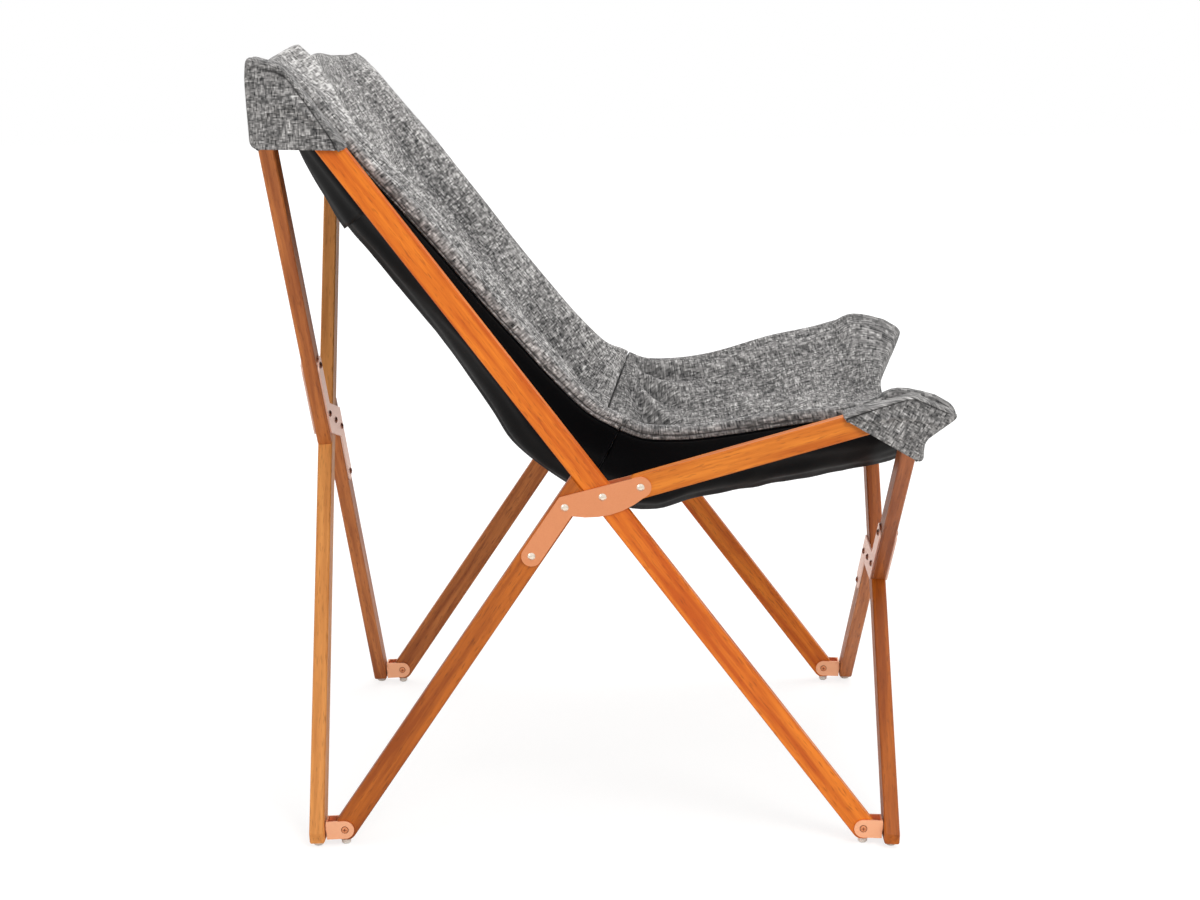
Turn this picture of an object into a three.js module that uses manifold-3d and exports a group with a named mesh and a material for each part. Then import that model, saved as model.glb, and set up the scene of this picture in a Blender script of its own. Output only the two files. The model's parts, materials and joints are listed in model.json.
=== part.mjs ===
// Folding butterfly sling chair. Two scissor side frames stand between a crossed frame at the
// back and another in front, joined at eight corners by brackets with a pin and a pivot stud.
// A padded sling hangs between the bar ends in four corner pockets.
// Millimetres, +Z up. The sitter faces +X, so +Y is the sitter's left.
import * as THREE from 'three';
import { mergeVertices } from 'three/addons/utils/BufferGeometryUtils.js';
import Module from 'manifold-3d';

const wasm = await Module();
wasm.setup();

// Side frames
const frameSpacing = 660; // between the mid-planes of the two side frames
const barWidth = 28;
const barThickness = 18;
const barEdge = 1.4; // eased edge of every bar
const footPinHeight = 20;
const legRun = 510; // leg bar, from its foot pin to abreast of the scissor pivot
const legLean = 34.3; // degrees forward of upright
const scissorOffset = 29.5; // scissor pivot in front of the leg bar's centre line
const longLower = 507; // long bar, from the scissor pivot down to its foot pin
const longUpper = 583; // and up to its top pin
const railShift = 34; // seat rail pivot beyond the scissor pivot, along the leg bar
const railOffset = 30; // and in front of it
const railLength = 294; // seat rail, between its pivot and its top pin
const railRise = 15.8; // degrees above level
const railTail = 12; // rail past its pivot
const railTailRadius = 9;

// Clearances
const gap = 0.3; // between touching pieces
const boreGap = 0.3; // round a shank in its hole
const overrun = 2; // cuts run past what they cut

// Side plates and rivets
const plateThickness = 2;
const plateArmWidth = 24;
const plateNoseRadius = 12.5;
const plateShoulder = 7; // corner above the upper fixed rivet
const plateBellyIn = 27; // belly curve's control point, in front of the scissor pivot
const plateBellyDown = 18; // and below it
const plateCrotch = 4; // inner corner below the upper fixed rivet
const upperRivetBack = 35; // fixed rivets, back from the scissor pivot along the leg bar
const lowerRivetBack = 105;
const rivetRadius = 3;
const rivetHeadRadius = 4.6;
const rivetHeadHeight = 2.2;

// Crossed frames
const halfOffset = 30; // half bars beside the crossing pivot
const crossRivetNear = 41; // fixed rivets along the half bars, from the crossing
const crossRivetFar = 126;
const crossArmWidth = 24;
const crossShoulder = 18; // outer corner of the crossing plate's arm
const crossCrotch = 48; // inner corner of the crossing plate's arm
const crossTopReach = 8; // bar past its top stud
const footFacet = 12; // upright facet that trims the foot's sharp corner
const topChamfer = 5;

// Corner brackets
const bracketReach = 22.3; // from pin to the back of the bracket
const bracketHeight = 22;
const bracketThickness = 2;
const earGap = 0.4; // between ear and bar
const spacerThickness = 1.6;
const spacerRadius = 7;
const studRadius = 3;
const studDepth = 12;
const looseGap = 2.6; // play of the rear top studs in their bores
const studHeadRadius = 5;
const studHeadHeight = 1.8;
const pinRadius = 3;
const pinHeadRadius = 4.4;
const pinHeadDepth = 1.3;

// Glides under the feet
const glideRadius = 6.5;
const glideHeight = 5; // under the crossed bars
const glideTaper = 1.5;
const sideGlideRadius = 5.6;
const sideGlideHeight = 6.4; // under the side bars' rounded feet

// Sling: a padded top layer over a lining, its edges rolled
const liningThickness = 4;
const layerGap = 0.7;
const cushionThickness = 22; // in the middle
const rollThickness = 14; // along the free edges
const cornerThickness = 8; // over the pockets
const rollWidth = 8;
const rollBulge = 3;
const slingWaist = 252; // half width at the crease, where the edges draw in most
const slingTopRise = 50; // top edge past the top pins, along the long bars
const edgeLift = 20; // edge in front of the bars' centre lines
const backSag = 80; // middle of the back behind the long bars
const seatSag = 96; // middle of the seat below the rails
const slingBow = 50; // middle shifted along the bars
const sagPower = 2.3; // how flat the sling's middle hangs
const creaseBack = 26; // edge of the crease behind the rail pivot
const creaseUp = 50;
const creaseSpineBack = 75; // middle of the crease
const creaseSpineDown = 62;
const creaseGap = 0.6;

// Corner pockets: run along the side bar past its top pin, and drop down the crossed bar
const pocketSpare = 1;
const pocketWall = 1.6;
const pocketInner = 14; // past the side bar's mid-plane, towards the middle
const pocketCorner = 10;
const pocketEdge = 1.5;
const cornerLimitShare = 0.4; // of the sides that meet at a rounded corner
// Rows down the sling. Shares of the run along the bar, of the edge's lift, of the middle's sag,
// of its bow, of the way from waist to corner width, and of the padding's thickness.
const backShares = [
  [0.99, -0.4, 0.26, 0.24, 1, 0.45],
  [0.955, 0.1, 0.55, 0.12, 1, 0.8],
  [0.9, 0.4, 0.84, 0.02, 1, 1],
  [0.85, 0.42, 0.97, 0, 1, 1],
  [0.79, 0.45, 1.02, 0, 1, 1],
  [0.73, 0.53, 1.04, 0, 0.96, 1],
  [0.675, 0.65, 1.03, 0, 0.85, 1],
  [0.6, 0.75, 1, 0, 0.66, 1],
  [0.52, 0.85, 1, 0, 0.5, 1],
  [0.41, 0.95, 1, 0, 0.36, 1],
  [0.305, 1.12, 1.02, 0, 0.17, 1],
  [0.2, 1.34, 1.04, 0, 0.03, 1],
  [0.14, 1.6, 1.06, 0, 0, 1],
];
const seatShares = [
  [0.06, 1.8, 0.95, -0.66, 0.05, 1],
  [0.2, 1.21, 0.98, -0.2, 0.15, 1],
  [0.385, 0.78, 1.04, 0, 0.23, 1],
  [0.59, 0.5, 1.08, 0, 0.4, 1],
  [0.8, 0.33, 1.12, 0, 0.75, 1],
  [0.95, 0.33, 1.15, -0.1, 0.97, 1],
  [1.13, 0.2, 1.15, -0.6, 1, 0.8],
  [1.2, -0.45, 1.12, -1.05, 1, 0.7],
  [1.255, -1.4, 1.08, -1.42, 0.97, 0.5],
];
// Across half of the sling, from its middle to the roll, and the padding's thickness there
const acrossShares = [0, 0.22, 0.44, 0.62, 0.78, 0.94, 1];
const paddingShares = [1, 0.97, 0.88, 0.62, 0.3, -0.25, 0];

const circleSteps = 12;
const holeSteps = 8;
const radians = THREE.MathUtils.degToRad;

const wood = { color: 0xc07a3a, roughness: 0.45, metalness: 0 };
const darkWood = { color: 0xa5622f, roughness: 0.45, metalness: 0 };
const copper = { color: 0xd98a66, roughness: 0.35, metalness: 0.9 };
const brightSteel = { color: 0xe0cdb5, roughness: 0.25, metalness: 1 };
const greyWeave = { color: 0x8b8b8a, roughness: 0.95, metalness: 0 };
const blackWeave = { color: 0x151515, roughness: 0.9, metalness: 0 };
const plastic = { color: 0xe4e0d8, roughness: 0.5, metalness: 0 };

// Side plane layout, x forward and y up, from the rear foot pin
const aside = (lean) => new THREE.Vector2(Math.cos(lean), -Math.sin(lean));
const along = (lean) => new THREE.Vector2(Math.sin(lean), Math.cos(lean));
const step = (from, lean, run, side = 0) => from.clone()
  .addScaledVector(along(lean), run)
  .addScaledVector(aside(lean), side);

const legTilt = radians(legLean);
const railTilt = Math.PI / 2 - radians(railRise);
const rearFoot = new THREE.Vector2(0, footPinHeight);
const scissor = step(rearFoot, legTilt, legRun, scissorOffset);
const longTilt = -Math.acos((scissor.y - footPinHeight) / longLower);
const frontFoot = step(scissor, longTilt, -longLower);
const rearTop = step(scissor, longTilt, longUpper);
const railPivot = step(scissor, legTilt, railShift, railOffset);
const frontTop = step(railPivot, railTilt, railLength);
const halfSpacing = frameSpacing / 2;
const barHalf = barWidth / 2;
const faceHalf = barThickness / 2;
const plateInner = faceHalf + gap; // plate's near face from the bar's mid-plane
const plateOuter = plateInner + plateThickness;
const legReach = bracketReach + spacerThickness + gap + faceHalf; // pin to crossed bar's middle

const chair = new THREE.Group();

function addMesh(parent, name, geometry, finish, place = [0, 0, 0]) {
  const mesh = new THREE.Mesh(geometry, new THREE.MeshStandardMaterial(finish));
  mesh.name = name;
  mesh.position.set(...place);
  parent.add(mesh);
  return mesh;
}

// Solid joining and cutting
function solidOf(geometry) {
  const bare = geometry.clone();
  bare.deleteAttribute('normal');
  bare.deleteAttribute('uv');
  const merged = mergeVertices(bare, 1e-4);
  return new wasm.Manifold(new wasm.Mesh({
    numProp: 3,
    vertProperties: new Float32Array(merged.attributes.position.array),
    triVerts: new Uint32Array(merged.index.array),
  }));
}

function geometryOf(solid) {
  const mesh = solid.getMesh();
  const geometry = new THREE.BufferGeometry();
  geometry.setAttribute('position', new THREE.BufferAttribute(mesh.vertProperties, 3));
  geometry.setIndex(new THREE.BufferAttribute(mesh.triVerts, 1));
  geometry.computeVertexNormals();
  return geometry;
}

const join = (...parts) => geometryOf(parts.map(solidOf).reduce((a, b) => a.add(b)));
const cut = (body, ...tools) => geometryOf(tools.map(solidOf).reduce((a, b) => a.subtract(b), solidOf(body)));

// A slab stands in the XZ plane, its outline's y upright, centred on its thickness
function slab(outline, thickness, edge = 0) {
  const geometry = new THREE.ExtrudeGeometry(outline, {
    depth: thickness - 2 * edge,
    curveSegments: circleSteps / 2,
    bevelEnabled: edge > 0,
    bevelThickness: edge,
    bevelSize: edge,
    bevelOffset: -edge,
    bevelSegments: 1,
  });
  geometry.translate(0, 0, edge - thickness / 2);
  return geometry.rotateX(Math.PI / 2);
}

// The same slab turned into the YZ plane, where the crossed frames lie
const crossSlab = (outline, thickness, edge = 0) => slab(outline, thickness, edge).rotateZ(Math.PI / 2);

function roundHole(x, y, radius) {
  const hole = new THREE.Path();
  const points = [];
  for (let i = 0; i < holeSteps; i += 1) {
    const angle = (-i / holeSteps) * 2 * Math.PI;
    points.push(new THREE.Vector2(x + radius * Math.cos(angle), y + radius * Math.sin(angle)));
  }
  return hole.setFromPoints([...points, points[0].clone()]);
}

// Round parts turn about Y, their profile given as radius and height from bottom to top
function turned(profile, steps = circleSteps) {
  return new THREE.LatheGeometry(profile.map(([r, y]) => new THREE.Vector2(r, y)), steps);
}

// A rivet with a low domed head at each end of its grip
function rivet(grip) {
  const end = grip / 2;
  const top = end + rivetHeadHeight;
  const brow = end + 0.75 * rivetHeadHeight;
  return turned([
    [0, -top], [0.6 * rivetHeadRadius, -brow], [rivetHeadRadius, -end], [rivetRadius, -end],
    [rivetRadius, end], [rivetHeadRadius, end], [0.6 * rivetHeadRadius, brow], [0, top],
  ]);
}

// A cross pin with a countersunk head at each end, or with spare the hole that takes it
function pin(length, spare = 0) {
  const end = length / 2 + (spare > 0 ? overrun : 0);
  const neck = length / 2 - pinHeadDepth;
  const head = pinHeadRadius + spare;
  const flush = length / 2;
  const shank = pinRadius + spare;
  return turned([
    [0, -end], [head, -end], ...(spare > 0 ? [[head, -flush]] : []), [shank, -neck],
    [shank, neck], ...(spare > 0 ? [[head, flush]] : []), [head, end], [0, end],
  ]);
}

// Side bars. Each stands along its own Z from its lower pin and is then leaned in place.
// A rounded foot about a pin, with a level cut for the glide when one is given
function roundedEnd(outline, height, upward, flat) {
  const start = upward ? 0 : Math.PI;
  if (!flat) {
    outline.absarc(0, height, barHalf, start, start + Math.PI, false);
    return;
  }
  outline.absarc(0, height, barHalf, start, flat.down - flat.spread, false);
  outline.absarc(0, height, barHalf, flat.down + flat.spread, start + Math.PI, false);
}

// Where the level cut for a side glide meets a foot leaned by tilt
function glideFlat(tilt) {
  const drop = footPinHeight - sideGlideHeight - gap;
  return { down: 1.5 * Math.PI + tilt, spread: Math.acos(drop / barHalf) };
}

function legOutline() {
  // The upper end is cut along the long bar's rear edge, which it meets as a stop
  const open = legTilt - longTilt;
  const edgeX = scissorOffset - (barHalf + gap) * Math.cos(open);
  const edgeZ = legRun - (barHalf + gap) * Math.sin(open);
  const cutAt = (x) => edgeZ + (edgeX - x) / Math.tan(open);
  const outline = new THREE.Shape();
  roundedEnd(outline, 0, false, glideFlat(legTilt));
  outline.lineTo(barHalf, cutAt(barHalf));
  outline.lineTo(-barHalf, cutAt(-barHalf));
  outline.closePath();
  outline.holes.push(
    roundHole(0, 0, pinRadius + boreGap),
    roundHole(0, legRun - lowerRivetBack, rivetRadius + boreGap),
    roundHole(0, legRun - upperRivetBack, rivetRadius + boreGap),
  );
  return outline;
}

function longOutline() {
  const outline = new THREE.Shape();
  roundedEnd(outline, 0, false, glideFlat(longTilt));
  roundedEnd(outline, longLower + longUpper, true);
  outline.closePath();
  outline.holes.push(
    roundHole(0, 0, pinRadius + boreGap),
    roundHole(0, longLower, rivetRadius + boreGap),
    roundHole(0, longLower + longUpper, pinRadius + boreGap),
  );
  return outline;
}

function railOutline() {
  const corner = barHalf - railTailRadius;
  const rise = railTailRadius - railTail;
  const outline = new THREE.Shape();
  outline.absarc(-corner, rise, railTailRadius, Math.PI, 1.5 * Math.PI, false);
  outline.absarc(corner, rise, railTailRadius, 1.5 * Math.PI, 2 * Math.PI, false);
  roundedEnd(outline, railLength, true);
  outline.closePath();
  outline.holes.push(
    roundHole(0, 0, rivetRadius + boreGap),
    roundHole(0, railLength, pinRadius + boreGap),
  );
  return outline;
}

// Side plate in the leg bar's own frame: an arm down the leg, a nose round the rail pivot
function plateOutline(holes) {
  const arm = plateArmWidth / 2;
  const lowerRivet = legRun - lowerRivetBack;
  const upperRivet = legRun - upperRivetBack;
  const nose = new THREE.Vector2(scissorOffset + railOffset, legRun + railShift);
  const shoulder = new THREE.Vector2(-arm, upperRivet + plateShoulder);
  const reach = nose.clone().sub(shoulder);
  const touch = reach.angle() + Math.asin(plateNoseRadius / reach.length()) + Math.PI / 2;
  const outline = new THREE.Shape();
  outline.absarc(0, lowerRivet, arm, Math.PI, 2 * Math.PI, false);
  outline.lineTo(arm, upperRivet - plateCrotch);
  outline.quadraticCurveTo(
    scissorOffset + plateBellyIn,
    legRun - plateBellyDown,
    nose.x + plateNoseRadius * Math.cos(-0.6),
    nose.y + plateNoseRadius * Math.sin(-0.6),
  );
  outline.absarc(nose.x, nose.y, plateNoseRadius, -0.6, touch, false);
  outline.lineTo(shoulder.x, shoulder.y);
  outline.closePath();
  const bore = rivetRadius + boreGap;
  outline.holes.push(roundHole(scissorOffset, legRun, bore), roundHole(nose.x, nose.y, bore));
  if (holes) outline.holes.push(roundHole(0, lowerRivet, bore), roundHole(0, upperRivet, bore));
  return outline;
}

// A fixed rivet belongs to the outer plate and passes through bar and inner plate
function fixedRivet() {
  return rivet(2 * (plateOuter + gap)).translate(0, gap / 2, 0);
}

function glide(radius, height) {
  return turned([[0, 0], [radius - glideTaper, 0], [radius, glideTaper], [radius, height], [0, height]]);
}

function buildSide(side, sign) {
  const frame = new THREE.Group();
  frame.position.y = sign * halfSpacing;
  chair.add(frame);
  const place = (point) => [point.x, 0, point.y];
  const lean = (mesh, tilt) => mesh.rotation.set(0, tilt, 0);
  const bar = (name, outline, finish, at, tilt) => {
    lean(addMesh(frame, `${side}_${name}`, slab(outline, barThickness, barEdge), finish, place(at)), tilt);
  };
  bar('leg_bar', legOutline(), darkWood, rearFoot, legTilt);
  bar('long_bar', longOutline(), wood, frontFoot, longTilt);
  bar('seat_rail', railOutline(), wood, railPivot, railTilt);

  // The outer plate faces away from the sitter, with its two fixed rivets
  const platePlace = (plateInner + plateOuter) / 2;
  const outer = slab(plateOutline(false), plateThickness).translate(0, sign * platePlace, 0);
  const rivets = [lowerRivetBack, upperRivetBack].map((back) => {
    const shape = fixedRivet();
    if (sign < 0) shape.rotateX(Math.PI);
    return shape.translate(0, -sign * gap, legRun - back);
  });
  lean(addMesh(frame, `${side}_outer_plate`, join(outer, ...rivets), copper, place(rearFoot)), legTilt);
  const inner = slab(plateOutline(true), plateThickness).translate(0, -sign * platePlace, 0);
  lean(addMesh(frame, `${side}_inner_plate`, inner, copper, place(rearFoot)), legTilt);
  const grip = 2 * (plateOuter + gap);
  addMesh(frame, `${side}_scissor_rivet`, rivet(grip), brightSteel, place(scissor));
  addMesh(frame, `${side}_rail_rivet`, rivet(grip), brightSteel, place(railPivot));

  for (const [name, foot] of [['leg', rearFoot], ['long', frontFoot]]) {
    const shape = glide(sideGlideRadius, sideGlideHeight).rotateX(Math.PI / 2);
    addMesh(frame, `${side}_${name}_glide`, shape, plastic, [foot.x, 0, 0]);
  }
}

buildSide('right', -1);
buildSide('left', 1);

// Corner brackets. A bracket's origin is on its pin, and its base faces the crossed bar on -X.
// Its stud turns in the bar's blind bore. The fold needs play at five of the corners: two have
// a wide bore, and three have no stud inside the bar.
const looseCorners = ['rear_right_top', 'rear_left_top'];
const studlessCorners = ['front_right_foot', 'front_left_foot', 'front_left_top'];
const isStudded = (cross, corner) => !studlessCorners.includes(`${cross}_${corner}`);
const pinLength = 2 * (faceHalf + earGap + bracketThickness);

function bracketGeometry(studded) {
  const half = bracketHeight / 2;
  const outline = new THREE.Shape();
  outline.moveTo(-bracketReach, half);
  outline.lineTo(-bracketReach, -half);
  outline.lineTo(0, -half);
  outline.absarc(0, 0, half, -Math.PI / 2, Math.PI / 2, false);
  outline.closePath();
  const earPlace = faceHalf + earGap + bracketThickness / 2;
  const ears = [-earPlace, earPlace].map((y) => slab(outline, bracketThickness).translate(0, y, 0));
  const base = new THREE.BoxGeometry(bracketThickness, pinLength, bracketHeight)
    .translate(bracketThickness / 2 - bracketReach, 0, 0);
  const face = bracketReach + spacerThickness;
  const inside = bracketReach - bracketThickness;
  const shank = [[0, -face - studDepth], [studRadius, -face - studDepth], [studRadius, -face]];
  const stud = turned([
    ...(studded ? shank : [[0, -face]]),
    [spacerRadius, -face], [spacerRadius, -inside - bracketThickness / 2],
    [studHeadRadius, -inside - bracketThickness / 2], [studHeadRadius, -inside + studHeadHeight / 2],
    [0, studHeadHeight - inside],
  ]).rotateZ(-Math.PI / 2);
  return cut(join(...ears, base, stud), pin(pinLength, boreGap));
}

// Crossed frames. Each lies in its own leaning plane, with its own Z from foot to top pins.
function crossFrame(name, foot, top, facing) {
  const rise = top.clone().sub(foot);
  const height = rise.length();
  const plane = new THREE.Group();
  plane.position.set(foot.x, 0, foot.y);
  plane.rotation.y = Math.atan2(rise.x, rise.y);
  chair.add(plane);
  const reach = Math.hypot(height, frameSpacing);
  const lean = Math.atan2(frameSpacing, height); // continuous bar
  const halfLean = lean - 2 * Math.asin((2 * halfOffset) / reach / 2); // half bars
  const halfRun = Math.sqrt((reach / 2) ** 2 - halfOffset ** 2);
  return { name, plane, height, reach, lean, halfLean, halfRun, facing };
}

const rear = crossFrame('rear', rearFoot, rearTop, 1);
const front = crossFrame('front', frontFoot, frontTop, -1);

// Level cut under a crossed bar's foot, measured down from its stud
function footDrop(cross) {
  const tilt = cross.plane.rotation.y;
  const stud = footPinHeight + cross.facing * legReach * Math.sin(tilt);
  return stud - glideHeight - gap - faceHalf * Math.abs(Math.sin(tilt));
}

// Foot end of a crossed bar about its stud: cut level, with the sharp corner cut upright
function footPoints(side, lean, drop) {
  const [sin, cos] = [Math.sin(lean), Math.cos(lean)];
  const facetTop = (footFacet - drop - barHalf * sin) / cos;
  return [
    new THREE.Vector2(-side * barHalf, facetTop),
    new THREE.Vector2(side * (footFacet * sin - barHalf), facetTop - footFacet * cos),
    new THREE.Vector2(side * barHalf, (barHalf * sin - drop) / cos),
  ];
}

function topPoints(side) {
  return [
    new THREE.Vector2(side * barHalf, crossTopReach - topChamfer),
    new THREE.Vector2(side * (barHalf - topChamfer), crossTopReach),
    new THREE.Vector2(side * (topChamfer - barHalf), crossTopReach),
    new THREE.Vector2(-side * barHalf, crossTopReach - topChamfer),
  ];
}

const shift = (points, x, y) => points.map((p) => p.clone().add(new THREE.Vector2(x, y)));

function counterClockwise(points) {
  return THREE.ShapeUtils.area(points) < 0 ? [...points].reverse() : points;
}

// Blind bores for the brackets' studs, from the bar's face towards the side frames
function cutBores(cross, body, bores) {
  const tools = bores.filter(([corner]) => isStudded(cross.name, corner)).map(([corner, y, z]) => {
    const depth = studDepth + overrun;
    const play = looseCorners.includes(`${cross.name}_${corner}`) ? looseGap : boreGap;
    const bore = new THREE.CylinderGeometry(studRadius + play, studRadius + play, depth, holeSteps);
    const mouth = faceHalf + gap + overrun / 2 - studDepth / 2;
    return bore.rotateZ(Math.PI / 2).translate(cross.facing * mouth, y, z);
  });
  return cut(body, ...tools);
}

function continuousBar(cross) {
  const half = cross.reach / 2;
  const points = [
    ...shift(footPoints(1, cross.lean, footDrop(cross)), 0, -half),
    ...shift(topPoints(1), 0, half),
  ];
  const outline = new THREE.Shape(counterClockwise(points));
  outline.holes.push(roundHole(0, 0, rivetRadius + boreGap));
  const bores = [['right_foot', 0, -half], ['left_top', 0, half]];
  return cutBores(cross, crossSlab(outline, barThickness, barEdge), bores);
}

// A half bar's inner end is cut along the continuous bar's side, which it meets as a stop
function halfBar(cross, lower) {
  const side = lower ? 1 : -1;
  const open = cross.lean + cross.halfLean;
  const stopAt = (x) => {
    const slide = (side * x - (barHalf + gap) * Math.cos(open)) / Math.sin(open);
    return side * (slide * Math.cos(open) - (barHalf + gap) * Math.sin(open));
  };
  const middle = side * halfOffset;
  const stop = [middle + barHalf, middle - barHalf].map((x) => new THREE.Vector2(x, stopAt(x)));
  const end = lower
    ? shift(footPoints(-1, cross.halfLean, footDrop(cross)), middle, -cross.halfRun)
    : shift(topPoints(1), middle, cross.halfRun);
  const outline = new THREE.Shape(counterClockwise([...end, ...stop.reverse()]));
  for (const run of [crossRivetNear, crossRivetFar]) {
    outline.holes.push(roundHole(middle, -side * run, rivetRadius + boreGap));
  }
  const bores = [[lower ? 'left_foot' : 'right_top', middle, -side * cross.halfRun]];
  return cutBores(cross, crossSlab(outline, barThickness, barEdge), bores);
}

// Crossing plate in the half bars' frame: two arms joined by a slanting middle
function crossPlateOutline(holes) {
  const arm = crossArmWidth / 2;
  const outline = new THREE.Shape();
  outline.absarc(halfOffset, -crossRivetFar, arm, Math.PI, 2 * Math.PI, false);
  outline.lineTo(halfOffset + arm, -crossShoulder);
  outline.lineTo(arm - halfOffset, crossCrotch);
  outline.absarc(-halfOffset, crossRivetFar, arm, 0, Math.PI, false);
  outline.lineTo(-halfOffset - arm, crossShoulder);
  outline.lineTo(halfOffset - arm, -crossCrotch);
  outline.closePath();
  outline.holes.push(roundHole(0, 0, rivetRadius + boreGap));
  if (holes) {
    for (const [x, y] of crossRivets()) outline.holes.push(roundHole(x, y, rivetRadius + boreGap));
  }
  return outline;
}

function crossRivets() {
  const runs = [crossRivetNear, crossRivetFar];
  return [...runs.map((run) => [-halfOffset, run]), ...runs.map((run) => [halfOffset, -run])];
}

function buildCross(cross) {
  const { name, plane, height, facing } = cross;
  const middle = [-facing * legReach, 0, height / 2];
  const add = (label, geometry, finish, turn) => {
    addMesh(plane, `${name}_${label}`, geometry, finish, middle).rotation.x = turn;
  };
  add('cross_bar', continuousBar(cross), darkWood, -cross.lean);
  add('upper_half_bar', halfBar(cross, false), darkWood, cross.halfLean);
  add('lower_half_bar', halfBar(cross, true), darkWood, cross.halfLean);
  const platePlace = (plateInner + plateOuter) / 2;
  const rivets = crossRivets().map(([y, z]) => {
    const shape = fixedRivet().rotateZ(facing * Math.PI / 2);
    return shape.translate(facing * gap, y, z);
  });
  const outer = crossSlab(crossPlateOutline(false), plateThickness).translate(-facing * platePlace, 0, 0);
  const inner = crossSlab(crossPlateOutline(true), plateThickness).translate(facing * platePlace, 0, 0);
  add('cross_outer_plate', join(outer, ...rivets), copper, cross.halfLean);
  add('cross_inner_plate', inner, copper, cross.halfLean);
  add('cross_rivet', rivet(2 * (plateOuter + gap)).rotateZ(Math.PI / 2), brightSteel, 0);

  for (const [side, sign] of [['right', -1], ['left', 1]]) {
    for (const [level, z] of [['foot', 0], ['top', height]]) {
      const corner = [0, sign * halfSpacing, z];
      const shape = bracketGeometry(isStudded(name, `${side}_${level}`));
      const bracket = addMesh(plane, `${name}_${side}_${level}_bracket`, shape, copper, corner);
      bracket.rotation.z = facing > 0 ? 0 : Math.PI;
      addMesh(plane, `${name}_${side}_${level}_pin`, pin(pinLength), brightSteel, corner);
    }
  }

  // Glides stand upright on the floor under the level cuts
  plane.updateWorldMatrix(true, true);
  for (const [label, sign, lean] of [['cross', -1, cross.lean], ['half', 1, cross.halfLean]]) {
    const [, from, to] = footPoints(1, lean, footDrop(cross));
    const flat = from.add(to).multiplyScalar(0.5).rotateAround(new THREE.Vector2(), -lean);
    const spot = plane.localToWorld(
      new THREE.Vector3(-facing * legReach, sign * (halfSpacing - flat.x), flat.y),
    );
    const shape = glide(glideRadius, glideHeight).rotateX(Math.PI / 2);
    addMesh(chair, `${name}_${label}_glide`, shape, plastic, [spot.x, spot.y, 0]);
  }
}

buildCross(rear);
buildCross(front);

// Sling. Each row has its edge point, the point where its middle hangs, and its half widths.
const onBar = (pivot, tilt, facing) => (run, lift) => step(pivot, tilt, run, facing * lift);
const onLong = onBar(scissor, longTilt, 1);
const onRail = onBar(railPivot, railTilt, -1);
const pocketOuter = pocketWall + pocketSpare + Math.max(...[rear, front].flatMap((cross) => (
  [cross.lean, cross.halfLean].flatMap((lean) => topPoints(1).map((p) => (
    p.x * Math.cos(lean) + p.y * Math.sin(lean)))))));
const cornerHalf = halfSpacing - pocketInner - 2 * gap - rollBulge;

function slingRow(edge, spine, down, widthShare, paddingShare) {
  const under = liningThickness + layerGap;
  const hang = spine.clone().addScaledVector(down, -under).sub(edge);
  const at = (y, fall, lift) => new THREE.Vector3(
    edge.x + hang.x * fall - down.x * lift,
    y,
    edge.y + hang.y * fall - down.y * lift,
  );
  const roll = THREE.MathUtils.lerp(rollThickness, cornerThickness, widthShare);
  const full = THREE.MathUtils.lerp(roll, cushionThickness, paddingShare);
  const half = THREE.MathUtils.lerp(slingWaist, cornerHalf, widthShare);
  const inner = acrossShares.map((share, i) => ({
    y: (half - rollWidth) * share,
    fall: 1 - share ** sagPower,
    thickness: THREE.MathUtils.lerp(roll, full, paddingShares[i]),
  }));
  return { at, roll, half, inner };
}

// Mirror a half section's points about the middle, from right to left
function across(points, place) {
  const right = points.slice(1).reverse().map((p) => place(p, -1));
  return [...right, ...points.map((p) => place(p, 1))];
}

function cushionSection({ at, roll, half, inner }) {
  const points = [...inner, { y: half, fall: 0, thickness: roll }];
  return {
    top: across(points, (p, sign) => at(sign * p.y, p.fall, p.thickness)),
    under: across(points, (p, sign) => at(sign * p.y, p.fall, 0)),
    ends: [-1, 1].map((sign) => at(sign * (half + rollBulge), 0, roll / 2)),
  };
}

function liningSection({ at, inner }) {
  const points = inner.slice(0, -1);
  return {
    top: across(points, (p, sign) => at(sign * p.y, p.fall, -layerGap)),
    under: across(points, (p, sign) => at(sign * p.y, p.fall, -layerGap - liningThickness)),
    ends: [],
  };
}

// Skin between sections of equal size, closed by a strip at each end
function loft(sections) {
  const count = sections[0].top.length;
  const rings = sections.map(({ top, under, ends }) => [
    ...top, ...ends.slice(1), ...[...under].reverse(), ...ends.slice(0, 1),
  ]);
  const size = rings[0].length;
  const rounded = size - 2 * count; // points between top and under at the sides
  const faces = [];
  const quad = (a, b, c, d, flip) => faces.push(...(flip ? [a, d, b, b, d, c] : [a, c, b, a, d, c]));
  for (let j = 0; j + 1 < rings.length; j += 1) {
    for (let i = 0; i < size; i += 1) {
      const next = (i + 1) % size;
      quad(j * size + i, j * size + next, (j + 1) * size + next, (j + 1) * size + i, i >= count);
    }
  }
  const cap = (start, reverse) => {
    const turn = (a, b, c) => faces.push(...(reverse ? [start + a, start + c, start + b]
      : [start + a, start + b, start + c]));
    const below = (i) => 2 * count + rounded / 2 - 1 - i;
    for (let i = 0; i + 1 < count; i += 1) {
      turn(i, below(i), i + 1);
      turn(i + 1, below(i), below(i + 1));
    }
    if (rounded > 0) {
      turn(count - 1, count + 1, count);
      turn(0, size - 1, below(0));
    }
  };
  cap(0, true);
  cap((rings.length - 1) * size, false);
  const geometry = new THREE.BufferGeometry();
  geometry.setAttribute('position', new THREE.Float32BufferAttribute(
    rings.flat().flatMap((p) => [p.x, p.y, p.z]), 3));
  geometry.setIndex(faces);
  geometry.computeVertexNormals();
  return geometry;
}

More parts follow.
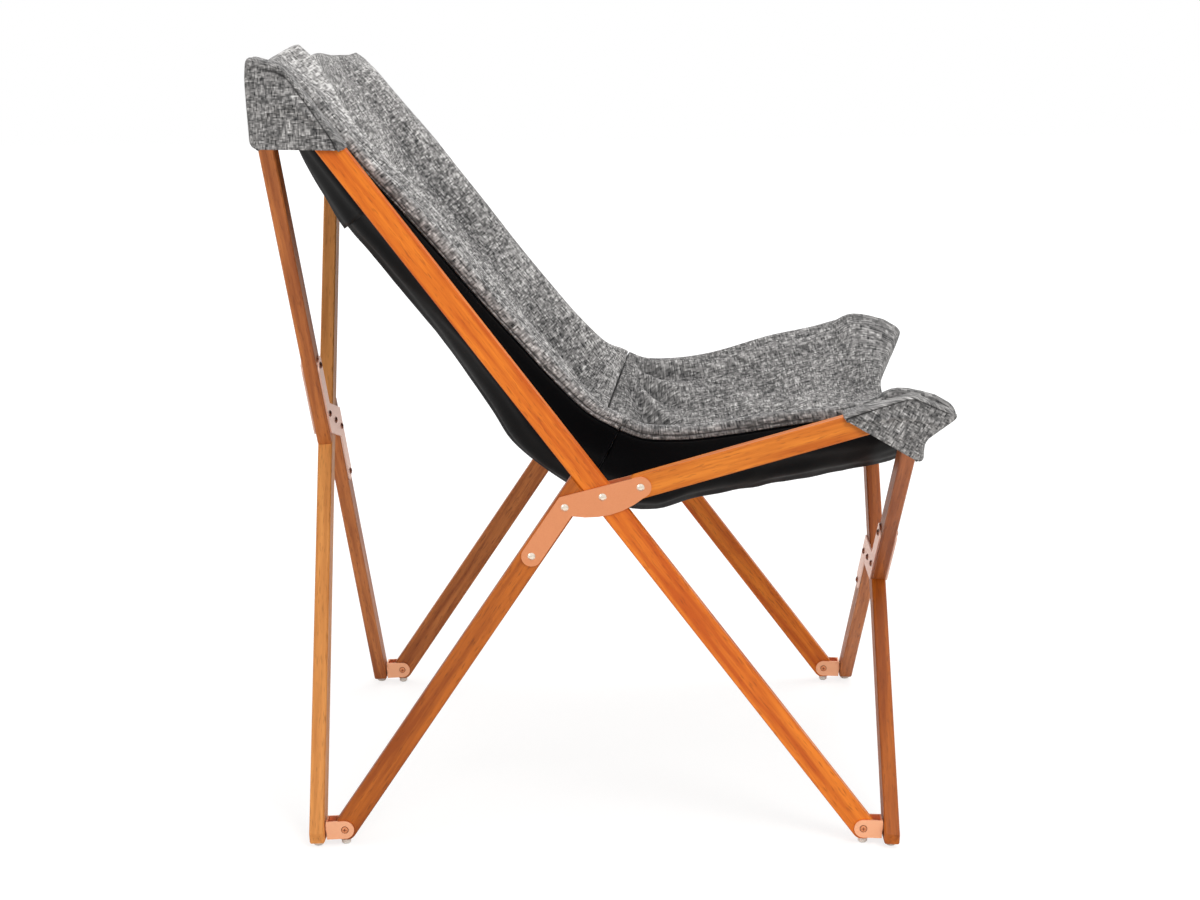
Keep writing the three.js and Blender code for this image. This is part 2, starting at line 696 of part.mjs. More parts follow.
function barRows(shares, length, sag, place) {
  return shares.map(([run, lift, hang, bow, width, padding]) => {
    const edge = place(run * length, lift * edgeLift);
    const spine = place(run * length + bow * slingBow, -hang * sag);
    const down = place(bow * slingBow, -sag).sub(place(0, 0)).normalize();
    return slingRow(edge, spine, down, width, padding);
  });
}

function creaseRow(forward) {
  const edge = new THREE.Vector2(railPivot.x - creaseBack + forward, railPivot.y + creaseUp);
  const spine = new THREE.Vector2(
    railPivot.x - creaseSpineBack + forward,
    railPivot.y - creaseSpineDown,
  );
  return slingRow(edge, spine, spine.clone().sub(edge).normalize(), 0, 1);
}

const backRows = [
  ...barRows(backShares, longUpper + slingTopRise, backSag, onLong),
  creaseRow(0),
];
const seatRows = [creaseRow(creaseGap), ...barRows(seatShares, railLength, seatSag, onRail)];
addMesh(chair, 'back_cushion', loft(backRows.map(cushionSection)), greyWeave);
addMesh(chair, 'back_lining', loft(backRows.map(liningSection)), blackWeave);
addMesh(chair, 'seat_cushion', loft(seatRows.map(cushionSection)), greyWeave);
addMesh(chair, 'seat_lining', loft(seatRows.map(liningSection)), blackWeave);

// Corner pockets. Each is a hood over the ends of a side bar and a crossed bar, open below and
// towards the middle, drawn about the top pin in the crossed frame's own plane.
function roundedOutline(points, radius) {
  const outline = new THREE.Shape();
  points.forEach((corner, i) => {
    const leg = (other) => {
      const side = other.clone().sub(corner);
      return side.setLength(Math.min(radius, cornerLimitShare * side.length())).add(corner);
    };
    const enter = leg(points.at(i - 1));
    const leave = leg(points[(i + 1) % points.length]);
    if (i === 0) outline.moveTo(enter.x, enter.y);
    else outline.lineTo(enter.x, enter.y);
    outline.quadraticCurveTo(corner.x, corner.y, leave.x, leave.y);
  });
  outline.closePath();
  return outline;
}

function pocketGeometry(cross, tilt, size, sign) {
  const local = tilt - cross.plane.rotation.y;
  const bar = (run, lift) => step(new THREE.Vector2(), local, run, cross.facing * lift);
  const beyond = (x, z) => new THREE.Vector2(-cross.facing * x, z);
  const inner = barHalf + pocketSpare;
  const far = legReach + faceHalf + pocketSpare;
  const lid = pocketSpare + Math.max(barHalf, ...[cross.lean, cross.halfLean].flatMap((lean) => (
    topPoints(1).map((p) => p.x * Math.sin(lean) + p.y * Math.cos(lean)))));
  const corner = inner * Math.tan((Math.PI / 2 - Math.abs(local)) / 2);
  const shell = roundedOutline([
    bar(-size.mouth, inner + pocketWall),
    bar(size.crest, inner + pocketWall),
    bar(size.tipRun, size.tipLift),
    beyond(far + pocketWall, size.brow),
    beyond(far + pocketWall, -size.drop),
  ], pocketCorner);
  const hollow = new THREE.Shape(counterClockwise([
    bar(-size.mouth - 2 * overrun, inner),
    bar(corner, inner),
    beyond(far, lid),
    beyond(far, -size.drop - 2 * overrun),
  ]));
  const width = pocketOuter + pocketInner;
  const middle = sign * (pocketOuter - width / 2);
  const tool = slab(hollow, width).translate(0, middle - sign * pocketWall, 0);
  return cut(slab(shell, width, pocketEdge).translate(0, middle, 0), tool);
}

const pocketSizes = {
  rear_right: { mouth: 93, crest: 26, tipRun: 60, tipLift: -9, brow: 17, drop: 60 },
  rear_left: { mouth: 93, crest: 14, tipRun: 47, tipLift: -27, brow: -8, drop: 60 },
  front_right: { mouth: 52, crest: 38, tipRun: 82, tipLift: -21, brow: -25, drop: 53 },
  front_left: { mouth: 52, crest: 24, tipRun: 77, tipLift: -28, brow: -28, drop: 53 },
};
for (const [side, sign] of [['right', -1], ['left', 1]]) {
  for (const [cross, tilt] of [[rear, longTilt], [front, railTilt]]) {
    const corner = [0, sign * halfSpacing, cross.height];
    const shape = pocketGeometry(cross, tilt, pocketSizes[`${cross.name}_${side}`], sign);
    addMesh(cross.plane, `${cross.name}_${side}_pocket`, shape, greyWeave, corner);
  }
}

// The part stands on the floor, centred under its bounding box
const box = new THREE.Box3().setFromObject(chair, true);
const centre = box.getCenter(new THREE.Vector3());
chair.position.set(-centre.x, -centre.y, -box.min.z);

export default chair;
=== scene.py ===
# %% [markdown]
# This lesson dresses a folding butterfly chair: a frame of flat beech bars that closes like
# scissors, copper-coloured plates, and one padded sling that hangs from four corner hoods.
# The frame comes from the CAD file and stays where it is. Here it gets its finishes, and the
# sling, which is plain in the CAD file, gets its sewn form.

# %% Load the frame
import json
import math
from functools import partial

import bmesh
import bpy
import numpy as np
from mathutils import Matrix, Vector, noise


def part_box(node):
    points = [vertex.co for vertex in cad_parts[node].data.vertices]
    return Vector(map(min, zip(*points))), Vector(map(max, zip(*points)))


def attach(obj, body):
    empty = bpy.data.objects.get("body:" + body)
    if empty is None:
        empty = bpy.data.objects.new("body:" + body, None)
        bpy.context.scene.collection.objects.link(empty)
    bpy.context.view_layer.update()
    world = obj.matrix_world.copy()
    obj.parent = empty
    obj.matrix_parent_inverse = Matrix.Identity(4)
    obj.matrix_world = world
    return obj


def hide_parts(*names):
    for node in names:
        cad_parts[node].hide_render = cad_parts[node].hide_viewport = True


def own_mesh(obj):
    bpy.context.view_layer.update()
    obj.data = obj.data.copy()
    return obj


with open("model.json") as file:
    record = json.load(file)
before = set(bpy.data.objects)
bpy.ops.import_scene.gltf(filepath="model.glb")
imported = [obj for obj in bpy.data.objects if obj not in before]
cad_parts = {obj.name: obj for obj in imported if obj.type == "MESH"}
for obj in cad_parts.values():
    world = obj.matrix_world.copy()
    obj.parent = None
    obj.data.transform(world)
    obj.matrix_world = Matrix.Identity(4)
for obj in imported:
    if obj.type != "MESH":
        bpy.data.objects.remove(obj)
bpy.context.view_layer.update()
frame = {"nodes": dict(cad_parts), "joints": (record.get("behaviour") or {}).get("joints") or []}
scene = bpy.context.scene
MM = 0.001
pivot = {joint["name"]: Vector(joint["pos_m"]) for joint in frame["joints"]}
right_y = pivot["right_scissor_joint"].y
left_y = pivot["left_scissor_joint"].y
middle_y = (right_y + left_y) / 2
print("spacing of the side frames", round(left_y - right_y, 3))

# %% [markdown]
# The camera stands where the photographer stood, at the sitter's right. It was solved from the
# pivots that show in the photograph. Its place is written in metres: in front of the rear foot
# pin, aside from the chair's middle, and above the floor.

# %% Camera
eye_forward, eye_aside, eye_height = 0.3717, 2.986, 1.0124
yaw, pitch, roll = (math.radians(angle) for angle in (-1.351, 11.369, -0.621))
focal_pixels, picture_width, sensor_width = 2344.3, 1200, 36.0
forward = Vector((math.sin(yaw) * math.cos(pitch), math.cos(yaw) * math.cos(pitch), -math.sin(pitch)))
side = Vector((math.cos(yaw), -math.sin(yaw), 0))
up = side.cross(forward)
right_axis = side * math.cos(roll) + up * math.sin(roll)
up_axis = up * math.cos(roll) - side * math.sin(roll)
lens = bpy.data.cameras.new("camera")
lens.sensor_width = sensor_width
lens.lens = focal_pixels / picture_width * sensor_width
camera = bpy.data.objects.new("camera", lens)
camera.matrix_world = Matrix((right_axis, up_axis, -forward)).transposed().to_4x4()
camera.location = (pivot["right_foot_joint"].x + eye_forward, middle_y - eye_aside, eye_height)
scene.collection.objects.link(camera)
scene.camera = camera
print("lens", round(lens.lens, 1), "mm")

# %% [markdown]
# A finish is a tree of shader nodes. One small function adds a node, sets its values and links
# its inputs. Each finish gets that function for its own tree, and reads as a list of its steps.

# %% Nodes, colours and new materials
def add_node(tree, kind, inputs=None, **settings):
    """Adds a shader node. Where an input is another node, that node's first output is linked to it."""
    made = tree.nodes.new(f"ShaderNode{kind}")
    for name, value in settings.items():
        setattr(made, name, value)
    for name, value in (inputs or {}).items():
        if isinstance(value, bpy.types.Node):
            value = value.outputs[0]
        if isinstance(value, bpy.types.NodeSocket):
            tree.links.new(value, made.inputs[name])
        else:
            made.inputs[name].default_value = value
    return made


def colour(text):
    """An sRGB hex value as linear red, green, blue and alpha."""
    parts = [int(text[i:i + 2], 16) / 255 for i in (1, 3, 5)]
    return [p / 12.92 if p <= 0.04045 else ((p + 0.055) / 1.055) ** 2.4 for p in parts] + [1]


def new_material(name):
    made = bpy.data.materials.new(name)
    made.use_nodes = True
    made.node_tree.nodes.clear()
    return made, partial(add_node, made.node_tree)


white = colour("#FFFFFF")
print("middle grey in linear light", round(colour("#808080")[0], 3))

# %% [markdown]
# The studio is plain: a pale world, a pale floor, and large soft lamps. The world looks white to
# the camera and to polished metal, but lights the chair more gently than that.

# %% World
room_strength, white_strength = 0.56, 1.0
scene.view_settings.view_transform = "Standard"
world = bpy.data.worlds.new("pale_room")
scene.world = world
world.use_nodes = True
world.node_tree.nodes.clear()
add = partial(add_node, world.node_tree)
rays = add("LightPath").outputs
seen = rays["Is Camera Ray"]
for kind in ("Is Glossy Ray", "Is Transmission Ray"):
    seen = add("Math", {0: seen, 1: rays[kind]}, operation="MAXIMUM")
room = add("Background", {"Color": white, "Strength": room_strength})
bright = add("Background", {"Color": white, "Strength": white_strength})
mixed = add("MixShader", {0: seen, 1: room, 2: bright})
add("OutputWorld", {"Surface": mixed})
print("room light", room_strength)

# %% [markdown]
# The floor takes a faint shadow round the chair. It glows for the camera, and more so farther
# from the chair, until it is pure white and no horizon shows.

# %% Floor
def make_piece(name, shape, *materials):
    """Turns a bmesh into an object of the scene."""
    data = bpy.data.meshes.new(name)
    shape.to_mesh(data)
    shape.free()
    for material in materials:
        data.materials.append(material)
    made = bpy.data.objects.new(name, data)
    scene.collection.objects.link(made)
    return made


floor_half, floor_drop = 12, 0.0005
glow_strength, near_glow, full_glow = 1.2, 0.64, 1.0
fade_start, fade_end = 0.55, 1.6
floor_material, add = new_material("pale_paper_floor")
seen = add("LightPath").outputs["Is Camera Ray"]
paper = add("BsdfDiffuse", {"Color": colour("#F6F5F3")})
glow = add("Emission", {"Color": white, "Strength": glow_strength})
place = add("TexCoord").outputs["Object"]
distance = add("VectorMath", {0: place}, operation="LENGTH").outputs["Value"]
away = add("MapRange", {0: distance, 1: fade_start, 2: fade_end, 3: near_glow, 4: full_glow})
share = add("Math", {0: seen, 1: away}, operation="MULTIPLY")
mixed = add("MixShader", {0: share, 1: paper, 2: glow})
add("OutputMaterial", {"Surface": mixed})

floor_mesh = bmesh.new()
bmesh.ops.create_grid(floor_mesh, x_segments=1, y_segments=1, size=floor_half)
floor_piece = make_piece("floor", floor_mesh, floor_material)
floor_piece.location.z = -floor_drop
print("floor", floor_half * 2, "m wide")

# %% [markdown]
# Three square lamps stand well above the chair: a key lamp in front at the sitter's right, a
# weak one behind that lifts the shadows, and a wide one overhead. Large lamps make soft shadows.

# %% Lamps
def soft_lamp(name, place, target, width, power):
    data = bpy.data.lights.new(name, "AREA")
    data.shape = "SQUARE"
    data.size = width
    data.energy = power
    made = bpy.data.objects.new(name, data)
    made.location = place
    made.rotation_euler = (Vector(target) - Vector(place)).to_track_quat("-Z", "Y").to_euler()
    scene.collection.objects.link(made)


soft_lamp("key_lamp", (1.2, -2.6, 2.6), (0, 0, 0.45), 1.5, 56)
soft_lamp("fill_lamp", (-2.4, -1.6, 1.6), (0, 0, 0.45), 2.0, 14)
soft_lamp("top_lamp", (0.4, 0.6, 3.0), (0, 0, 0.4), 2.4, 40)

# %% [markdown]
# Beech is pale, even wood with short dark pores. Here it wears an orange stain under a satin
# varnish. An image could show the grain, but stretched noise gives every bar its own. So each
# bar has its own copy of the finish, turned to the direction that is measured on its mesh. Real
# pores are under half a millimetre wide, so they are drawn about four times coarser.

# %% The direction of a bar
def bar_turn(piece):
    """Euler turn that brings the bar's long direction to X."""
    points = np.array([vertex.co for vertex in piece.data.vertices])
    _, _, axes = np.linalg.svd(points - points.mean(0), full_matrices=False)
    return Matrix([axes[0], axes[1], np.cross(axes[0], axes[1])]).to_euler()


long_turn = bar_turn(frame["nodes"]["right_long_bar"])
print("long bar's turn", [round(math.degrees(angle)) for angle in long_turn])


# %% Stained beech
streak_size, pore_size, figure_size = (0.11, 0.006), (0.016, 0.0019), (0.3, 0.018)
pore_depth, grain_relief, varnish, varnish_rough, shine = 0.5, 0.0004, 0.04, 0.35, 0.28


def stained_beech(name, piece, pale, deep, pore):
    """Stained beech under satin varnish: an even warm tone, broken by streaks and short pores."""
    made, add = new_material(name)
    place = add("TexCoord").outputs["Object"]
    along = add("Mapping", {"Vector": place, "Rotation": bar_turn(piece)})
    fields = []
    for (length, width), detail in ((streak_size, 4), (pore_size, 1), (figure_size, 2)):
        scale = (1 / length, 1 / width, 1 / width)
        sized = add("Mapping", {"Vector": along, "Scale": scale})
        fields.append(add("TexNoise", {"Vector": sized, "Scale": 1.0, "Detail": detail, "Roughness": 0.6}))
    streak, pores, figure = fields
    tone = add("Math", {0: streak, 1: figure}, operation="ADD")
    tone = add("MapRange", {0: tone, 1: 0.8, 2: 1.22})
    wood = add("Mix", {"Factor": tone, "A": colour(pale), "B": colour(deep)}, data_type="RGBA").outputs[2]
    marks = add("MapRange", {0: pores, 1: 0.58, 2: 0.74})
    marks = add("Math", {0: marks, 1: pore_depth}, operation="MULTIPLY")
    skin = add("Mix", {"Factor": marks, "A": wood, "B": colour(pore)}, data_type="RGBA").outputs[2]
    rough = add("MapRange", {0: streak, 1: 0.3, 2: 0.7, 3: 0.36, 4: 0.5})
    relief = add("Math", {0: pores, 1: streak}, operation="SUBTRACT")
    bump = add("Bump", {"Height": relief, "Strength": 0.12, "Distance": grain_relief})
    shader = add("BsdfPrincipled", {
        "Base Color": skin, "Roughness": rough, "Normal": bump, "Coat Weight": varnish,
        "Coat Roughness": varnish_rough, "Specular IOR Level": shine})
    add("OutputMaterial", {"Surface": shader})
    return made


print("drawn pores", round(pore_size[1] / MM, 1), "mm wide")

# %% [markdown]
# No two boards take the stain alike. Each tone below is three colours: pale wood, deep wood and
# pore. The bars share six tones.

# %% Dress the bars
def dress(piece, material):
    for slot_index in range(len(piece.material_slots)):
        piece.material_slots[slot_index].material = material
    if not piece.material_slots:
        piece.data.materials.append(material)


honey = ("#E57E20", "#BE540A", "#8A3A08")
golden = ("#D97E26", "#B5590F", "#833E0E")
amber = ("#BA631A", "#92450D", "#623007")
russet = ("#C4753A", "#985022", "#662F10")
umber = ("#AC6130", "#85431C", "#58290E")
straw = ("#DE954E", "#C07838", "#8F5424")
beech_bars = {
    "right_long_bar": honey, "left_long_bar": honey, "right_seat_rail": golden, "left_seat_rail": golden,
    "right_leg_bar": amber, "left_leg_bar": russet,
    "rear_cross_bar": straw, "rear_upper_half_bar": russet, "rear_lower_half_bar": russet,
    "front_cross_bar": amber, "front_upper_half_bar": umber, "front_lower_half_bar": russet,
}
for name, tones in beech_bars.items():
    piece = frame["nodes"][name]
    dress(piece, stained_beech(f"stained_beech_{name}", piece, *tones))
print("bars", len(beech_bars))

# %% [markdown]
# The plates are stamped steel with a satin copper-coloured plating. The domed rivets are polished
# on the side frames, and the glides are moulded off-white plastic. The rivets on the crossed bars,
# the other pins and the screws' cross recesses get a dark copper tint, a painted shade. A metal
# shows mostly what it mirrors, so its look comes from its tint and from how fine grit spreads the
# mirror. Real grit is too fine to show, so it is drawn 1.6 to 3 mm coarse.

# %% Plated and moulded finishes
def plated_steel(name, tint, rough_low, rough_high, grit):
    """Plated steel: a metal whose fine grit spreads its highlights a little."""
    made, add = new_material(name)
    place = add("TexCoord").outputs["Object"]
    speck = add("TexNoise", {"Vector": place, "Scale": 1 / grit, "Detail": 3})
    rough = add("MapRange", {0: speck, 1: 0.3, 2: 0.7, 3: rough_low, 4: rough_high})
    bump = add("Bump", {"Height": speck, "Strength": 0.06, "Distance": 0.2 * MM})
    shader = add("BsdfPrincipled", {
        "Base Color": colour(tint), "Metallic": 1.0, "Roughness": rough, "Normal": bump})
    add("OutputMaterial", {"Surface": shader})
    return made


def moulded_plastic(name, tint, grain=0.0012):
    """Moulded polypropylene: soft sheen, a faint texture from the mould."""
    made, add = new_material(name)
    place = add("TexCoord").outputs["Object"]
    texture = add("TexNoise", {"Vector": place, "Scale": 1 / grain, "Detail": 2})
    bump = add("Bump", {"Height": texture, "Strength": 0.1, "Distance": 0.2 * MM})
    shader = add("BsdfPrincipled", {"Base Color": colour(tint), "Roughness": 0.5, "Normal": bump})
    add("OutputMaterial", {"Surface": shader})
    return made


copper = plated_steel("satin_copper_plating", "#DB9268", 0.42, 0.56, 0.0016)
bright_copper = plated_steel("bright_copper_plating", "#F8B890", 0.34, 0.46, 0.0016)
pale_copper = plated_steel("pale_copper_plating", "#EBC3B2", 0.3, 0.42, 0.0016)
polished = plated_steel("polished_rivet_steel", "#E9DCCB", 0.12, 0.22, 0.003)
# A painted shade: a dark tint for rivets and recesses that show dark at a grazing angle or in a hollow.
painted_shade_steel = plated_steel("painted_shade_rivet_steel", "#7E4A36", 0.35, 0.5, 0.002)
plastic = moulded_plastic("moulded_polypropylene", "#E6E1D8")
print("finishes", [made.name for made in (copper, bright_copper, pale_copper, polished, painted_shade_steel, plastic)])

# %% Dress the fittings
for name, piece in frame["nodes"].items():
    if "glide" in name:
        dress(piece, plastic)
    elif "bracket" in name:
        dress(piece, bright_copper)
    elif "plate" in name:
        dress(piece, pale_copper if "cross" in name else copper)
    elif "rivet" in name or "pin" in name:
        dress(piece, polished if "scissor" in name or "rail" in name else painted_shade_steel)
print("glides", sum("glide" in name for name in frame["nodes"]))

# %% [markdown]
# Some rivets are fixed in a plate and belong to its mesh, so they can't be dressed as pieces of
# their own. Their heads stand proud of the plate, and that is how their faces are found.

# %% Rivets that are fixed in a plate
def finish_studs(piece, finish, clear=0.1 * MM):
    """Gives another finish to the faces of a flat plate that stand proud of its two sides."""
    through = max(piece.data.polygons, key=lambda face: face.area).normal
    depths = sorted(round(vertex.co.dot(through), 4) for vertex in piece.data.vertices)
    half = len(depths) // 2
    near_face, far_face = (max(set(part), key=part.count) for part in (depths[:half], depths[half:]))
    piece.data.materials.append(finish)
    count = 0
    for face in piece.data.polygons:
        if not near_face - clear < face.center.dot(through) < far_face + clear:
            face.material_index = len(piece.data.materials) - 1
            count += 1
    return count


for name, piece in frame["nodes"].items():
    if name.endswith("_plate"):
        print(name, finish_studs(piece, painted_shade_steel if "cross" in name else polished))

# %% [markdown]
# Each foot bracket turns on a screw whose low head shows on both ears. A boolean could cut the
# cross in the head, but here a head is a square grid that is pressed into a disc and domed a
# little, and the cells that form a cross are sunk to make the recess.

# %% A cross-recessed screw head
head_cells = 9
head_height, head_dome, skirt_depth = 1.1 * MM, 0.6 * MM, 0.9 * MM
recess_arm, recess_draft, recess_depth = 2.5, 0.1 * MM, 0.85 * MM  # the arm is counted in cells


def add_screw_head(shape, centre, radius, outward):
    """Adds a head to the bmesh, facing along Y, with its recess in the second material, which paints shade
    into it.
    """
    before = set(shape.verts)
    bmesh.ops.create_grid(shape, x_segments=head_cells, y_segments=head_cells, size=radius)
    head = [vertex for vertex in shape.verts if vertex not in before]
    cell = radius * 2 / head_cells
    faces = {face for vertex in head for face in vertex.link_faces}
    away = {face: sorted(map(abs, face.calc_center_median()[:2])) for face in faces}
    cross = [face for face in faces if away[face][0] < cell / 2 and away[face][1] < cell * recess_arm]
    rim = [edge for edge in {edge for vertex in head for edge in vertex.link_edges} if edge.is_boundary]
    for vertex in head:
        x, y = vertex.co.x / radius, vertex.co.y / radius
        pressed = Vector((x * math.sqrt(1 - y * y / 2), y * math.sqrt(1 - x * x / 2), 0))
        vertex.co = pressed * radius + Vector((0, 0, head_height - head_dome * pressed.length ** 2))
    bmesh.ops.inset_region(shape, faces=cross, thickness=recess_draft, depth=-recess_depth)
    for face in cross:
        face.material_index = 1
    skirt = bmesh.ops.extrude_edge_only(shape, edges=rim)["geom"]
    skirt = [part for part in skirt if isinstance(part, bmesh.types.BMVert)]
    bmesh.ops.translate(shape, verts=skirt, vec=(0, 0, -skirt_depth))
    place = Matrix.Translation(centre) @ Matrix.Rotation(math.radians(-90 * outward), 4, "X")
    bmesh.ops.transform(shape, matrix=place, verts=[vertex for vertex in shape.verts if vertex not in before])


print("cells in a head", head_cells ** 2)

# %% Screw heads on the feet
head_share = 0.86
feet = ("rear_right_foot", "rear_left_foot", "front_right_foot", "front_left_foot")
for corner in feet:
    low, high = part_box(f"{corner}_pin")
    middle = (low + high) / 2
    heads = bmesh.new()
    for outward, y in ((-1, low.y), (1, high.y)):
        add_screw_head(heads, Vector((middle.x, y, middle.z)), (high.x - low.x) / 2 * head_share, outward)
    bmesh.ops.recalc_face_normals(heads, faces=heads.faces)
    # The heads are copper, and their cross recesses get the painted shade.
    piece = make_piece(f"{corner}_screw_heads", heads, copper, painted_shade_steel)
    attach(piece, corner if "rear" in corner else f"{corner}_bracket")
print("feet with screw heads", len(feet))

# %% [markdown]
# The sling is cut as two padded panels, a back and a seat, sewn together in the crease. Each row
# below says how the sling lies at one place along the bars: how far along, how far the edge
# stands off the bar, how deep the middle hangs, how far the middle slips along the bar, how wide
# the sling is there and how thick its padding. The rows are shares of the values above them.

# %% The line of the sling
norm = np.linalg.norm


def flat(name):
    """A pivot as it lies in the side view: x and z."""
    return np.array((pivot[name].x, pivot[name].z))


rear_top = flat("rear_right_top_joint")
front_top = flat("front_right_top_joint")
scissor = flat("right_scissor_joint")
rail_pivot = flat("right_rail_pivot_joint")
past_rear_top = 0.050
back_run = norm(rear_top - scissor) + past_rear_top
seat_run = norm(front_top - rail_pivot)
edge_lift, back_sag, seat_sag, slip = 0.020, 0.080, 0.096, 0.050
waist_half, corner_half = 0.252, 0.3124
roll_width, roll_at_waist, roll_at_corner = 0.008, 0.014, 0.008
pad_thickness, lining_thickness, layer_gap = 0.022, 0.004, 0.0007

back_shares = [
    [0.99, -0.4, 0.2, 0.24, 1, 0.45], [0.955, 0.1, 0.38, 0.12, 1, 0.8], [0.9, 0.4, 0.63, 0.02, 1, 1],
    [0.85, 0.42, 0.8, 0, 1, 1], [0.79, 0.45, 0.9, 0, 1, 1], [0.73, 0.53, 0.97, 0, 0.96, 1],
    [0.675, 0.65, 1.03, 0, 0.85, 1], [0.6, 0.75, 1, 0, 0.66, 1], [0.52, 0.85, 1, 0, 0.5, 1],
    [0.41, 0.95, 1, 0, 0.36, 1], [0.305, 1.12, 1.02, 0, 0.17, 1], [0.2, 1.34, 1.04, 0, 0.03, 1],
    [0.14, 1.6, 1.06, 0, 0, 1],
]
seat_shares = [
    [0.06, 1.8, 0.95, -0.66, 0.05, 1], [0.2, 1.21, 0.98, -0.2, 0.15, 1], [0.385, 0.78, 1.04, 0, 0.23, 1],
    [0.59, 0.5, 1.08, 0, 0.4, 1], [0.8, 0.33, 1.12, 0, 0.75, 1], [0.95, 0.33, 1.15, -0.1, 0.97, 1],
    [1.13, 0.2, 1.15, -0.6, 1, 0.8], [1.2, -0.45, 1.12, -1.05, 1, 0.7], [1.255, -1.4, 1.08, -1.42, 0.97, 0.5],
]
print("back", round(back_run, 3), "m, seat", round(seat_run, 3), "m along the bars")


# %% Rows of the sling, in metres
def sling_row(edge, spine, down, width, padding):
    """One row: edge, way down to the pad's underside, unit way down, half width, roll and full thickness."""
    hang = spine - down * (lining_thickness + layer_gap) - edge
    roll_here = roll_at_waist + (roll_at_corner - roll_at_waist) * width
    full = roll_here + (pad_thickness - roll_here) * padding
    return np.array([*edge, *hang, *down, waist_half + (corner_half - waist_half) * width, roll_here, full])


def rows_along(shares, start, end, run_length, lift_way, sag):
    """The rows of a panel that hangs between the bars from start to end."""
    way = (end - start) / norm(end - start)
    lift = np.array((way[1], -way[0])) * lift_way
    made = []
    for run, up_share, hang, bow, width, padding in shares:
        edge = start + way * run * run_length + lift * up_share * edge_lift
        spine = start + way * (run * run_length + bow * slip) - lift * hang * sag
        down = way * bow * slip - lift * sag
        made.append(sling_row(edge, spine, down / norm(down), width, padding))
    return made


def crease_row(ahead):
    """The row where the panels meet: its edge above the rail's pivot, its middle behind and below it."""
    edge = rail_pivot + np.array((ahead - 0.026, 0.050))
    spine = rail_pivot + np.array((ahead - 0.075, -0.062))
    return sling_row(edge, spine, (spine - edge) / norm(spine - edge), 0, 1)


crease_gap = 0.0006
back_rows = rows_along(back_shares, scissor, rear_top, back_run, 1, back_sag) + [crease_row(0)]
seat_rows = [crease_row(crease_gap)] + rows_along(seat_shares, rail_pivot, front_top, seat_run, -1, seat_sag)
print("rows", len(back_rows), len(seat_rows))

# %% [markdown]
# A few rows can't draw a soft curve, so they are read as a smooth curve through all of them. The
# cloth is then laid out on evenly spaced places along it, with a few more where an end is
# rolled round.

# %% A smooth curve through the rows
def read_sling(rows, slant):
    """The cloth's length, the row at a place along it, and the row at a place drawn along by the slant."""
    middle_share = 0.6
    rows = np.array(rows)
    middle = rows[:, :2] + rows[:, 2:4] * middle_share
    places = np.concatenate(([0], np.cumsum(norm(np.diff(middle, axis=0), axis=1))))
    slopes = np.gradient(rows, places, axis=0)
    length = places[-1]

    def row_at(place):
        index = int(np.clip(np.searchsorted(places, place) - 1, 0, len(places) - 2))
        width = places[index + 1] - places[index]
        share = (place - places[index]) / width
        square, cube = share ** 2, share ** 3
        return ((2 * cube - 3 * square + 1) * rows[index] + (3 * square - 2 * cube) * rows[index + 1]
                + width * ((cube - 2 * square + share) * slopes[index] + (cube - square) * slopes[index + 1]))

    def slanted_row(place, across):
        return row_at(min(length, place + slant(place, across)))
    return length, row_at, slanted_row


def places_with_ends(length, spacing, ends):
    """Even places along the cloth and how full it is there: rolled round over a short run at each end."""
    turn = np.linspace(0, math.pi / 2, 6)[:-1]
    first = [(ends * (1 - math.cos(a)), math.sin(a)) for a in turn]
    last = [(length - place, fullness) for place, fullness in reversed(first)]
    inner = np.linspace(ends, length - ends, max(2, round((length - 2 * ends) / spacing)))
    return first + [(place, 1.0) for place in inner] + last


for name, rows in (("back", back_rows), ("seat", seat_rows)):
    print(name, round(float(read_sling(rows, None)[0]), 3), "m along the middle")

# %% [markdown]
# Cloth is laid as a grid of points. Its UV map is measured in metres along the threads, so a
# weave keeps its size and runs with the borders, however the cloth is bent.

# %% A grid of cloth
def cloth_grid(points, plain=None, centre=0, threads_at=None):
    """Lays a bmesh grid on points[row][column]. Its UV map is measured on the plain cloth, as mean
    distances from the centre column and the first row, so that the threads run with the borders."""
    points = np.array(points)
    row_count, column_count = points.shape[:2]
    shape = bmesh.new()
    bmesh.ops.create_grid(shape, x_segments=column_count - 1, y_segments=row_count - 1, size=1)
    if threads_at is None:
        plain = points if plain is None else np.array(plain)
        across = np.pad(np.cumsum(norm(np.diff(plain, axis=1), axis=2), axis=1), ((0, 0), (1, 0)))
        down = np.pad(np.cumsum(norm(np.diff(plain, axis=0), axis=2), axis=0), ((1, 0), (0, 0)))
        across = (across - across[:, [centre]]).mean(axis=0)[None, :]
        threads_at = np.stack(np.broadcast_arrays(across, down.mean(axis=1)[:, None]), axis=2)
    threads_at = np.array(threads_at).reshape(-1, 2)
    threads = shape.loops.layers.uv.new("threads")
    shape.verts.ensure_lookup_table()
    for face in shape.faces:
        for loop in face.loops:
            loop[threads].uv = threads_at[loop.vert.index]
    for vertex, place in zip(shape.verts, points.reshape(-1, 3)):
        vertex.co = place
    return shape


def paint(shape, name, marks):
    """Keeps a share at each point for the cloth's colour: a painted shade near a seam, or a painted highlight
    on a fold's crest and a painted shade in its hollow.
    """
    layer = shape.verts.layers.float.new(name)
    shape.verts.ensure_lookup_table()
    for vertex, mark in zip(shape.verts, np.array(marks).ravel()):
        vertex[layer] = float(mark)


def finish_piece(name, shape, material, outward=True, wall=None):
    """Turns a bmesh into a smooth piece of the chair. A wall is the cloth's thickness and its side."""
    if outward:
        bmesh.ops.recalc_face_normals(shape, faces=shape.faces)
    made = make_piece(name, shape, material)
    made.data.shade_smooth()
    if wall:
        solid = made.modifiers.new("cloth_thickness", "SOLIDIFY")
        solid.thickness, solid.offset = wall
    return made
